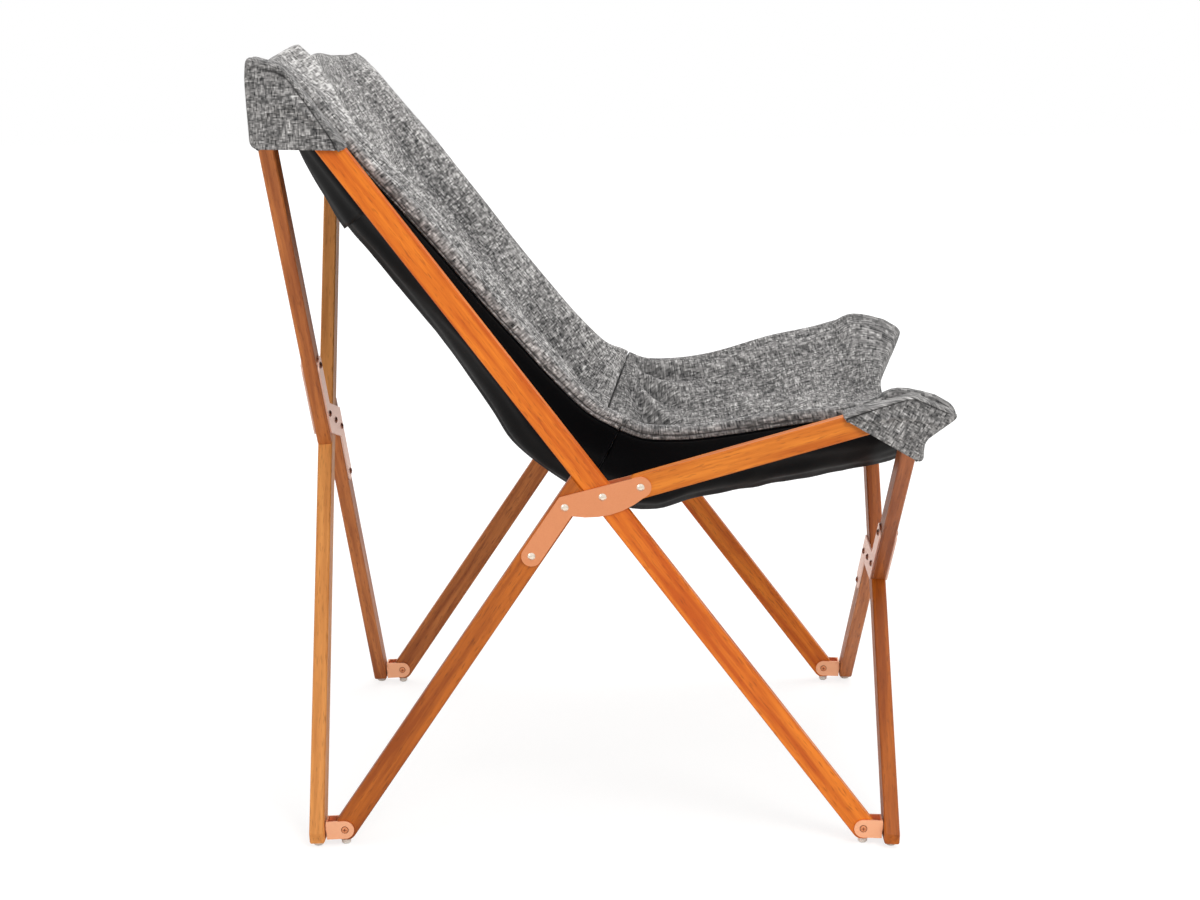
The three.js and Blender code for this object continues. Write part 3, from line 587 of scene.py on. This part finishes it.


# %% [markdown]
# The top is a heathered weave: polyester yarns of uneven grey cross each other, so the cloth
# breaks into short pale and dark dashes both ways. The threads are too fine to show, so the
# pattern is drawn about three times coarser, at 1.9 mm, with slubs about 9 mm long. Each yarn is
# one row of a long thin noise. Wide faint patches and broader yarns keep it from looking printed.
# The crests of the folds get a painted highlight and their hollows a painted shade, and a seam
# gets a painted shade as a dark line.

# %% Heathered weave
weave_tones = {0.32: "#5F5E5D", 0.52: "#807E7D", 0.72: "#A09E9C"}
darkest_tone, palest_tone, seam_shade_tone = "#2E2E2F", "#D2D0CE", "#2C2B2B"
broad_thread, broad_slub = 0.004, 0.016
patch_width, patch_length = 0.05, 0.07
broad_weight, patch_weight, painted_fold_light_weight = 0.2, 0.1, 0.12
yarn_step, warp_seed, weft_seed = 7.31, 3.7, 9.2


def heathered_weave(name, low, high, thread=0.0019, slub=0.009):
    """Heathered polyester weave: pale and dark slubs along both thread directions, no gloss, with painted
    light and shade on the folds and painted shade at the seams.
    """
    made, add = new_material(name)
    uv = add("UVMap", uv_map="threads")
    place = add("SeparateXYZ", {0: uv}).outputs
    sums = []
    for width, length in ((thread, slub), (broad_thread, broad_slub)):
        yarns = []
        for over, along, seed in (("X", "Y", warp_seed), ("Y", "X", weft_seed)):
            number = add("Math", {0: place[over], 1: width}, operation="DIVIDE")
            number = add("Math", {0: number}, operation="FLOOR")
            number = add("Math", {0: number, 1: yarn_step}, operation="MULTIPLY")
            run = add("Math", {0: place[along], 1: length}, operation="DIVIDE")
            spot = add("CombineXYZ", {0: number, 1: run, 2: seed})
            yarns.append(add("TexNoise", {"Vector": spot, "Scale": 1.0, "Detail": 1.5, "Roughness": 0.6}))
        sums.append(add("Math", {0: yarns[0], 1: yarns[1]}, operation="ADD"))
    crossing, broad = sums
    patch_scale = (1 / patch_width, 1 / patch_length, 1)
    sized = add("Mapping", {"Vector": uv, "Scale": patch_scale})
    patches = add("TexNoise", {"Vector": sized, "Scale": 1.0, "Detail": 2})
    # Painted light on the folds: paler on their crests, darker in their hollows.
    painted_fold_light = add("Attribute", attribute_name="painted_fold_light").outputs["Fac"]
    total = crossing
    for field, weight in ((broad, broad_weight), (patches, patch_weight), (painted_fold_light, painted_fold_light_weight)):
        total = add("Math", {0: field, 1: weight, 2: total}, operation="MULTIPLY_ADD")
    total = add("MapRange", {0: total, 1: low, 2: high})
    ramp = add("ValToRGB", {"Fac": total})
    stops = ramp.color_ramp.elements
    stops[0].color = colour(darkest_tone)
    stops[1].color = colour(palest_tone)
    for level, tone in weave_tones.items():
        stops.new(level).color = colour(tone)
    # A seam's stitched groove gets a painted shade, a dark line.
    sewn = add("Attribute", attribute_name="seam").outputs["Fac"]
    dark = add("Mix", {"Factor": sewn, "A": ramp, "B": colour(seam_shade_tone)}, data_type="RGBA").outputs[2]
    bump = add("Bump", {"Height": crossing, "Strength": 0.35, "Distance": 0.8 * MM})
    shader = add("BsdfPrincipled", {
        "Base Color": dark, "Roughness": 0.95, "Normal": bump, "Specular IOR Level": 0.2,
        "Sheen Weight": 0.12, "Sheen Roughness": 0.5})
    add("OutputMaterial", {"Surface": shader})
    return made


grey_cloth = heathered_weave("heathered_grey_weave", 0.9, 1.56)
seat_cloth = heathered_weave("heathered_grey_seat_weave", 0.94, 1.7)
# The hoods' copy of the same cloth is mapped a little darker: a painted shade for their upright faces, which
# get less light.
shaded_hood_cloth = heathered_weave("shaded_heathered_grey_hood_weave", 0.92, 1.66, thread=0.0016, slub=0.0075)
print("nodes in the weave", len(grey_cloth.node_tree.nodes))

# %% [markdown]
# The lining is a matt black oxford weave. Its fine ribs give it a faint sheen. They are drawn
# about three times coarser, at 1.6 mm, and it mirrors very little, so that it stays deep black.

# %% Black oxford cloth
def black_oxford(rib_width=0.0016, rib_length=0.0064):
    """Black polyester oxford cloth: matt, with fine ribs that catch a little light on its folds."""
    made, add = new_material("black_oxford_weave")
    uv = add("UVMap", uv_map="threads")
    sized = add("Mapping", {"Vector": uv, "Scale": (1 / rib_width, 1 / rib_length, 1)})
    ribs = add("TexNoise", {"Vector": sized, "Scale": 1.0, "Detail": 2})
    tone = add("Mix", {"Factor": ribs, "A": colour("#050506"), "B": colour("#0B0B0D")}, data_type="RGBA")
    bump = add("Bump", {"Height": ribs, "Strength": 0.3, "Distance": 0.3 * MM})
    shader = add("BsdfPrincipled", {
        "Base Color": tone.outputs[2], "Roughness": 0.45, "Normal": bump, "Specular IOR Level": 0.012})
    add("OutputMaterial", {"Surface": shader})
    return made


black_cloth = black_oxford()
print("lining cloth", black_cloth.name)

# %% [markdown]
# Each panel is a flat bag of wadding: crowned in the middle, full along its borders, and closed
# at the sides by a seam. A cloth simulation could swell it, but it is slow and pushes the border
# out through the seam. So a closed grid follows the bag's section, ring by ring, and its folds
# are moved into it.

# %% Helpers for soft forms
def hump(value, centre, width):
    """A soft bump of height one."""
    return math.exp(-((value - centre) / width) ** 2)


def ease(value):
    """A share from none to one that starts and ends gently."""
    value = min(1.0, max(0.0, value))
    return value * value * (3 - 2 * value)


def padding_at(across):
    """Share of the padding's thickness across the panel, crowned in the middle."""
    return np.interp(abs(across), [0, 0.22, 0.44, 0.62, 0.78, 0.9, 1], [1, 0.97, 0.88, 0.66, 0.36, 0.12, 0])


def noise_folds(layers, across, along):
    """Uneven folds. Each layer has a height, how often it folds across and along, and a seed."""
    return sum(height * noise.noise(Vector((across * wide, along * long, seed)))
               for height, wide, long, seed in layers)


print("padding halfway out", round(float(padding_at(0.5)), 2))

# %% The section of a padded panel
panel_spacing, panel_ends = 0.0055, 0.003
border_inset, border_reach, border_round = 0.006, 0.003, 0.8
hang_power, top_power, top_round = 2.3, 2.2, 1.15
relief_fade, stitch_width, stitch_depth, painted_fold_light_height = 0.07, 0.0011, 0.0016, 0.009
panel_places = np.linspace(-1, 1, 121)
border_angles = np.radians(np.linspace(84, -84, 19))


def panel_points(rows, style):
    """Rings of points round a closed padded panel, the same rings without folds, and their marks."""
    length, row_at, slanted_row = read_sling(rows, style["slant"])
    points, plain, sewn, painted_fold_light = [], [], [], []
    for place, fullness in places_with_ends(length, panel_spacing, panel_ends):
        share = place / length
        border = style["border"](share, float(row_at(place)[7]))
        flat_share, seam_lift = style["flat"](share), style["seam"](share)
        ring, plain_ring, marks, painted_fold_light_marks = [], [], [], []

        def put(across, y, fall, lift, fold=0.0, mark=0.0):
            edge_x, edge_z, hang_x, hang_z, down_x, down_z = slanted_row(place, across)[:6]
            stand = style["stand"](share, across)
            for kept, height in ((ring, lift + fold + stand), (plain_ring, lift)):
                kept.append((edge_x + hang_x * fall - down_x * height, middle_y + y,
                             edge_z + hang_z * fall - down_z * height))
            marks.append(mark)
            # A fold's height becomes painted light: a highlight on a crest, a shade in a hollow.
            painted_fold_light_marks.append(max(-1.0, min(1.0, (fold + stand) / painted_fold_light_height)))

        def put_panel(across, facing):
            half, _, full = slanted_row(place, across)[6:9]
            panel_half = half - border_inset
            fall = 1 - min(1, abs(across) * panel_half / (half - roll_width)) ** hang_power
            if facing > 0:
                top_fall = (1 - min(1, abs(across) / flat_share) ** top_power) ** top_round
                fall += (top_fall - fall) * fullness
            thickness = border + (full - border) * padding_at(across)
            fold = style["relief"](place, share, across) * ease((1 - abs(across)) / relief_fade)
            swell = (1 + facing * fullness) / 2
            put(across, across * panel_half, fall, thickness * swell, fold * swell)

        def put_border(sign):
            half = slanted_row(place, sign)[6]
            for angle in border_angles * sign:
                lift = border / 2 * (1 + fullness * math.sin(angle))
                # The mark sinks the border at the seam, and paints shade into that groove.
                mark = hump(lift, seam_lift, stitch_width) * fullness * style["seen"](share)
                reach = (border_inset + border_reach) * math.cos(angle) ** border_round - stitch_depth * mark
                put(sign, sign * (half - border_inset + reach), 0, lift, 0, mark)

        middle = len(panel_places) // 2
        for across in panel_places[:middle + 1][::-1]:
            put_panel(across, -1)
        put_border(-1)
        for across in panel_places:
            put_panel(across, 1)
        put_border(1)
        for across in panel_places[middle:][::-1]:
            put_panel(across, -1)
        for kept, line in ((points, ring), (plain, plain_ring), (sewn, marks), (painted_fold_light, painted_fold_light_marks)):
            kept.append(line)
    return points, plain, sewn, painted_fold_light


def sew_panel(name, cloth, points, plain, sewn, painted_fold_light):
    shape = cloth_grid(points, plain, centre=len(points[0]) // 2)
    paint(shape, "seam", sewn)
    paint(shape, "painted_fold_light", painted_fold_light)
    bmesh.ops.remove_doubles(shape, verts=shape.verts, dist=0.03 * MM)
    return finish_piece(name, shape, cloth)


# %% [markdown]
# The back's cloth is a little too long for its place, so it lies in long shallow folds that run
# down it. Each fold is a hump across the panel: its height in metres, its place across, how far
# it sways from side to side, how often and from where, and its half width.

# %% Folds of the back panel
back_folds = [
    (0.0055, -0.42, 0.05, 5, 0, 0.07), (-0.0062, -0.60, 0.03, 6, 1, 0.07),
    (0.0035, 0.50, 0.05, 4, 2, 0.075), (-0.0055, 0.67, 0.03, 5, 0, 0.06),
    (0.0025, 0.84, 0, 0, 0, 0.05), (0.0040, 0.2, 0, 0, 0, 0.07), (-0.0035, -0.92, 0, 0, 0, 0.05),
]
back_wrinkles = [(0.0044, 2.4, 7, 3.1), (0.0026, 9, 10, 7.7), (0.0007, 22, 42, 1.3)]


def near_top(share):
    """One at the back's top end, and none past the upper third."""
    return 1 - ease(share / 0.3)


def back_relief(place, share, across):
    """A soft crest inside the near border, long folds down the middle, and small uneven ones."""
    fade = min(1, share / 0.05, (1 - share) / 0.05)
    relief = 0.0092 * hump(across, -0.80 + 0.18 * near_top(share), 0.045)
    for height, middle, sway, pace, phase, width in back_folds:
        relief += height * hump(across, middle + sway * math.sin(share * pace + phase), width)
    return fade * (relief + noise_folds(back_wrinkles, across, place))


def back_stand(share, across):
    """The near top corner stands up in a peak beside the hood, and the far border lies a little lower."""
    lower = 0.0028 * hump(across, 1, 0.25) * ease((share - 0.25) / 0.15) * ease((0.97 - share) / 0.1)
    return near_top(share) * 0.023 * hump(across, -0.80 + 0.17 * near_top(share), 0.085) - lower


def back_slant(place, across):
    """How far the top end is drawn down along the back: most at the far corner, some in the middle."""
    top = max(0.0, 1 - place / 0.16)
    return top * (0.025 * ease((across - 0.1) / 0.8) + 0.021 * hump(across, -0.02, 0.3))


back_style = {
    "border": lambda share, roll_here: roll_here + 0.004 + 0.006 * hump(share, 0.33, 0.28),
    "flat": lambda share: float(np.interp(share, [0, 0.12, 0.8, 1], [0.97, 0.86, 0.86, 0.97])),
    "seam": lambda share: float(np.interp(share, [0, 0.5, 0.85, 1], [0.004, 0.004, 0.006, 0.0075])),
    "seen": lambda share: ease((share - 0.2) / 0.05),
    "slant": back_slant,
    "stand": back_stand,
    "drop": lambda share: 0.002 * ease(share / 0.2) + 0.010 * hump(share, 0.95, 0.14),
    "relief": back_relief,
    "wrinkle": 0.0005,
}
back_panel = sew_panel("back_panel", grey_cloth, *panel_points(back_rows, back_style))
print("back panel faces", len(back_panel.data.polygons))

# %% [markdown]
# On the seat the cloth is gathered into the crease's two ends. Wrinkles fan out from each of
# them, so they are drawn as waves round that end, which fade with the distance from it. Two
# slow ridges run slantwise to the front.

# %% Folds of the seat panel
seat_ridges = [(0.006, 0.9, 0.55, 0.09, 0.25), (0.005, 0.5, 0.85, 0.08, 0.35)]
seat_wrinkles = [(0.006, 2.2, 9, 13.1), (0.0036, 6, 18, 17.7)]
seat_creases = [(0.0007, 20, 45, 11.3)]
fan_height, fan_waves, fan_centre = 0.0068, 14, 0.95


def seat_relief(place, share, across):
    """Wrinkles that fan out from the crease's ends, a crest inside each border, and slow folds."""
    fade = min(1, share / 0.03, (1 - share) / 0.06)
    uneven = noise_folds([(2.2, 3, 11, 29.0)], across, place)
    relief = 0.0045 * hump(abs(across), 0.90, 0.03) * ease((share - 0.15) / 0.2)
    for sign in (-1, 1):
        beside = across * sign - fan_centre
        turn = math.atan2(beside, share + 0.02)
        reach = math.hypot(beside * 0.6, share)
        wave = math.sin(turn * fan_waves + 1.7 * sign + uneven)
        relief += wave * fan_height * hump(reach, 0.22, 0.17)
    for height, drift, middle, width, start in seat_ridges:
        relief += height * hump(across + drift * share, middle, width) * ease((share - start) / 0.2)
    relief += noise_folds(seat_wrinkles, across, place)
    return fade * (ease(share / 0.16) * relief + noise_folds(seat_creases, across, place))


def seat_slant(place, across):
    """The front end is drawn back a little beside the far corner."""
    return -0.011 * hump(across, 0.55, 0.22) * ease((place - 0.3) / 0.1)


seat_style = {
    "border": lambda share, roll_here: roll_here + 0.0035 + 0.003 * hump(share, 0.6, 0.15),
    "flat": lambda share: 0.98,
    "seam": lambda share: float(np.interp(share, [0, 0.6, 1], [0.0075, 0.0068, 0.005])),
    "seen": lambda share: ease((0.74 - share) / 0.05),
    "slant": seat_slant,
    "stand": lambda share, across: 0.006 * hump(across, 1, 0.14) * hump(share, 0.7, 0.16),
    "drop": lambda share: 0.009 * hump(share, 0.0, 0.16),
    "relief": seat_relief,
    "wrinkle": 0.0022,
}
seat_panel = sew_panel("seat_panel", seat_cloth, *panel_points(seat_rows, seat_style))
print("seat panel faces", len(seat_panel.data.polygons))

# %% [markdown]
# Under the panels hangs a lining of black cloth that carries the weight. It is one layer, so it
# is an open grid with a thin wall. A short flap of the same cloth hangs under its top end, and
# stops with a free hem.

# %% Lining
lining_places = np.linspace(-1.035, 1.035, 83)
lining_spacing, lining_wall, lining_ends = 0.008, 0.0012, 0.0005
flap_width, flap_hang_in = 0.93, 0.03
lining_rise, border_clear, crest_most = 0.0016, 0.0009, 0.0016
lining_folds = [(0.0030, 7, 6, 23.0)]


def lining_points(rows, style, first=0.0, last=1.0, below=0.0):
    """The lining's points from its first to its last share of the length. A second layer hangs below it."""
    length, _, slanted_row = read_sling(rows, style["slant"])
    low, high = max(first * length, lining_ends), min(last * length, length - lining_ends)
    points = []
    for place in np.linspace(low, high, round((high - low) / lining_spacing)):
        under = below * ease((place - low) / flap_hang_in)
        drop = style["drop"](place / length) + under
        ring = []
        for across in lining_places * (flap_width if below else 1):
            edge_x, edge_z, hang_x, hang_z, down_x, down_z, half = slanted_row(place, across)[:7]
            fall = 1 - min(1, abs(across)) ** hang_power
            fold = 0.0012 * math.sin(across * 27 + 2 * math.sin(place * 9))
            fold += noise_folds(lining_folds, across, place)
            fold += style["wrinkle"] * noise.noise(Vector((across * 9 + place * 20, place * 30, 41.0)))
            slack = layer_gap + lining_thickness - lining_rise - min(crest_most, fold) + drop
            lift = -border_clear - (slack - border_clear) * ease((1.03 - abs(across)) / 0.16)
            ring.append((edge_x + hang_x * fall - down_x * lift, middle_y + across * (half - roll_width),
                         edge_z + hang_z * fall - down_z * lift))
        points.append(ring)
    return points, high - low


def hang_lining(name, rows, style, **reach):
    """Sews a lining, and measures its cut: the widest row and the length."""
    points, length = lining_points(rows, style, **reach)
    made = finish_piece(name, cloth_grid(points), black_cloth, outward=False, wall=(lining_wall, 0))
    width = max(norm(np.diff(np.array(ring), axis=0), axis=1).sum() for ring in points)
    return made, (float(width), float(length))


back_lining, back_cut = hang_lining("back_lining_cloth", back_rows, back_style)
back_flap, flap_cut = hang_lining("back_flap_cloth", back_rows, back_style,
                                  first=0.03, last=0.335, below=0.005)
seat_lining, seat_cut = hang_lining("seat_lining_cloth", seat_rows, seat_style)
print("lining cuts", [round(size, 3) for size in (*back_cut, *flap_cut, *seat_cut)])

# %% [markdown]
# A hood at each corner holds the sling to the frame: a cup of the same grey cloth over the ends
# of a side bar and a crossed bar, with a stitched hem along its open side. Its outline is read
# from the CAD hood, so that the cloth fits the corner that it stands for.

# %% The outline of a hood, from its CAD node
shortest_opening = 0.045
hood_ease = 0.0015


def hood_outline(node):
    """The outer face's corners as x and z, the hood's side, and how far out it reaches and starts."""
    shape = bmesh.new()
    shape.from_mesh(node.data)
    bmesh.ops.remove_doubles(shape, verts=shape.verts, dist=0.01 * MM)
    aside = [vertex.co.y - middle_y for vertex in shape.verts]
    outer, inner = max(map(abs, aside)), min(map(abs, aside))
    faces = [f for f in shape.faces if all(abs(abs(v.co.y - middle_y) - outer) < 0.05 * MM for v in f.verts)]
    rim = [e for e in {e for f in faces for e in f.edges} if sum(f in faces for f in e.link_faces) == 1]
    links = {}
    for edge in rim:
        for vertex, other in ((edge.verts[0], edge.verts[1]), (edge.verts[1], edge.verts[0])):
            links.setdefault(vertex, []).append(other)
    loop = [rim[0].verts[0]]
    while True:
        ahead = [v for v in links[loop[-1]] if len(loop) < 2 or v is not loop[-2]][0]
        if ahead is loop[0]:
            break
        loop.append(ahead)
    path = np.array([(v.co.x, v.co.z) for v in loop])
    shape.free()
    return path, (1 if aside[0] > 0 else -1), outer, inner


def along_path(path, share):
    """The point at that share of an open path's length."""
    steps = np.concatenate(([0], np.cumsum(norm(np.diff(path, axis=0), axis=1))))
    return np.array([np.interp(share * steps[-1], steps, path[:, k]) for k in (0, 1)])


def open_side(path, mouth_near):
    """Opens a closed loop along its low side, and starts it at that side's end near the mouth."""
    following = np.roll(path, -1, axis=0)
    sides = norm(following - path, axis=1)
    heights = np.where(sides > shortest_opening, (following + path)[:, 1], np.inf)
    path = np.roll(path, -(int(np.argmin(heights)) + 1), axis=0)
    if norm(path[0] - mouth_near) > norm(path[-1] - mouth_near):
        path = path[::-1]
    return path


def grown(path, by):
    """The loop moved outwards by a small distance."""
    way = np.roll(path, -1, axis=0) - np.roll(path, 1, axis=0)
    normal = np.stack((way[:, 1], -way[:, 0]), axis=1) / norm(way, axis=1, keepdims=True)
    turned = np.sum(path[:, 0] * np.roll(path[:, 1], -1) - path[:, 1] * np.roll(path[:, 0], -1))
    return path + normal * by * (1 if turned > 0 else -1)


print("corners of a hood", len(hood_outline(frame["nodes"]["rear_right_pocket"])[0]))

# %% [markdown]
# The hood's grid is laid column by column. A column runs from the hem over the face to the
# outline, turns over the crest, and ends with the strip that reaches to the panel. The face gets
# two soft creases that run up from the hem, small puckers, and a groove at each line of stitches.

# %% The grid of a hood
hood_columns, face_rows, turn_rows, strip_rows = 90, 30, 7, 7
cloth_inset, hood_turn, strip_overlap, strip_sag = 0.001, 0.006, 0.0045, 0.0015
face_crown, deepest_pucker, pucker_fade, turn_share = 0.0016, -0.0006, 0.02, 0.7
hem_line, hem_width, hem_groove, hem_shade, hem_shade_width = 0.011, 0.0015, 0.0009, 0.35, 0.0012
seam_end, seam_width, seam_groove, turn_thread = 0.62, 0.0016, 0.0012, 0.0016


def hood_relief(across, up, seed):
    """Folds on a hood's face, in metres."""
    fold = 0.0062 * hump(up, 0.66 + 0.16 * math.sin(across * 3 + seed), 0.09)
    fold -= 0.0052 * hump(up, 0.46 + 0.2 * math.sin(across * 3.4 + seed + 0.4), 0.06)
    return fold + noise_folds([(0.0042, 3.2, 3.5, seed * 3.1), (0.0009, 11, 11, seed * 5.3)], across, up)


def hood_columns_of(path, sign, outer, inner, seam_inset, seed):
    """Columns of points over the hood, and the threads' places and the seams' marks at them."""
    hem_start, hem_end = path[0], path[-1]
    hem_way = (hem_end - hem_start) / norm(hem_end - hem_start)
    hem_normal = np.array((-hem_way[1], hem_way[0]))
    if np.dot(path.mean(0) - hem_start, hem_normal) < 0:
        hem_normal = -hem_normal
    strip_width = outer - inner - hood_turn + strip_overlap
    points, threads_at, sewn = [], [], []
    for column in range(hood_columns + 1):
        share = column / hood_columns
        rim = along_path(path, share)
        hem = hem_start + (hem_end - hem_start) * share
        away = rim - hem
        reach = norm(away)
        away = away / reach if reach > 1e-6 else hem_normal
        edge_fade = math.sin(math.pi * share) ** 0.5
        line, threads, marks = [], [], []

        def lay(spot, depth, thread, mark=0.0):
            line.append((spot[0], middle_y + sign * (outer - cloth_inset - depth), spot[1]))
            threads.append(thread)
            marks.append(mark)

        for row in range(face_rows + 1):
            up = row / face_rows
            spot = hem + away * max(0, reach - hood_turn * turn_share) * up
            to_rim = reach - norm(spot - hem)
            to_hem = float(np.dot(spot - hem_start, hem_normal))
            puff = hood_relief(share * 2, up, seed) * edge_fade * min(1, to_rim / pucker_fade)
            puff = max(puff, deepest_pucker) + face_crown * math.sin(math.pi * up)
            puff -= hem_groove * hump(to_hem, hem_line, hem_width)
            seam = hump(to_rim, seam_inset, seam_width) * (share <= seam_end)
            puff -= seam_groove * seam
            # The seams and the hem's line of stitches get a painted shade.
            lay(spot, -puff, np.array((np.dot(spot - hem_start, hem_way), to_hem)),
                max(seam, hem_shade * hump(to_hem, hem_line, hem_shade_width)))
        for row in range(1, turn_rows + 1):
            angle = math.pi / 2 * row / turn_rows
            back = hood_turn * turn_share * (1 - math.sin(angle)) * min(1, reach / hood_turn)
            lay(rim - away * back, hood_turn * (1 - math.cos(angle)), threads[-1] + away * turn_thread)
        for row in range(1, strip_rows + 1):
            over = row / strip_rows
            sag = strip_sag * math.sin(math.pi * over) * edge_fade
            lay(rim - away * sag, hood_turn + strip_width * over,
                threads[-1] + away * strip_width / strip_rows)
        points.append(line)
        threads_at.append(threads)
        sewn.append(marks)
    return points, threads_at, sewn


print("points in a hood", (hood_columns + 1) * (face_rows + 1 + turn_rows + strip_rows))

# %% [markdown]
# The grid meets itself at the hem's two ends, so the doubled points are merged. The cloth then
# gets its thickness on the inside, and its seams and hem get a painted shade.

# %% Sew a hood
hood_wall = 0.0014


def sew_hood(corner, seam_inset, seed):
    """Reads the outline of one corner's CAD hood, and makes the cloth hood that fits it."""
    path, sign, outer, inner = hood_outline(frame["nodes"][f"{corner}_pocket"])
    path = open_side(grown(path, hood_ease), scissor)
    points, threads_at, sewn = hood_columns_of(path, sign, outer, inner, seam_inset, seed)
    shape = cloth_grid(points, threads_at=threads_at)
    paint(shape, "seam", sewn)
    bmesh.ops.remove_doubles(shape, verts=shape.verts, dist=0.02 * MM)
    bmesh.ops.dissolve_degenerate(shape, dist=0.02 * MM, edges=shape.edges)
    bmesh.ops.recalc_face_normals(shape, faces=shape.faces)
    if sum(face.normal.y * sign * face.calc_area() for face in shape.faces) < 0:
        bmesh.ops.reverse_faces(shape, faces=shape.faces)
    return finish_piece(f"{corner}_hood", shape, shaded_hood_cloth, outward=False, wall=(hood_wall, -1))


# %% [markdown]
# Each hood rides on its side bar and replaces its plain CAD node.

# %% Hoods on the frame
rear_seam_inset, front_seam_inset = 0.0105, 0.0045
hood_corners = {"rear_right": "right_long_bar", "rear_left": "left_long_bar",
                "front_right": "right_rail", "front_left": "left_rail"}
for number, (corner, body) in enumerate(hood_corners.items(), start=1):
    piece = sew_hood(corner, rear_seam_inset if "rear" in corner else front_seam_inset, float(number))
    node = f"{corner}_pocket"
    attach(piece, body)
    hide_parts(node)
    low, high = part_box(node)

# %% [markdown]
# The panels and linings ride on the right long bar and the right rail, and stand for the plain
# cushions and linings. When the chair closes, the side frames come together and the sling
# between them folds.

# %% The sling on the frame
sling_pieces = [
    (back_panel, "right_long_bar", "back_cushion"), (back_lining, "right_long_bar", "back_lining"),
    (back_flap, "right_long_bar", "back_lining"),
    (seat_panel, "right_rail", "seat_cushion"), (seat_lining, "right_rail", "seat_lining"),
]
for piece, body, node in sling_pieces:
    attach(piece, body)
    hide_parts(node)
    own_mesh(piece)
print("sling pieces", len(sling_pieces))
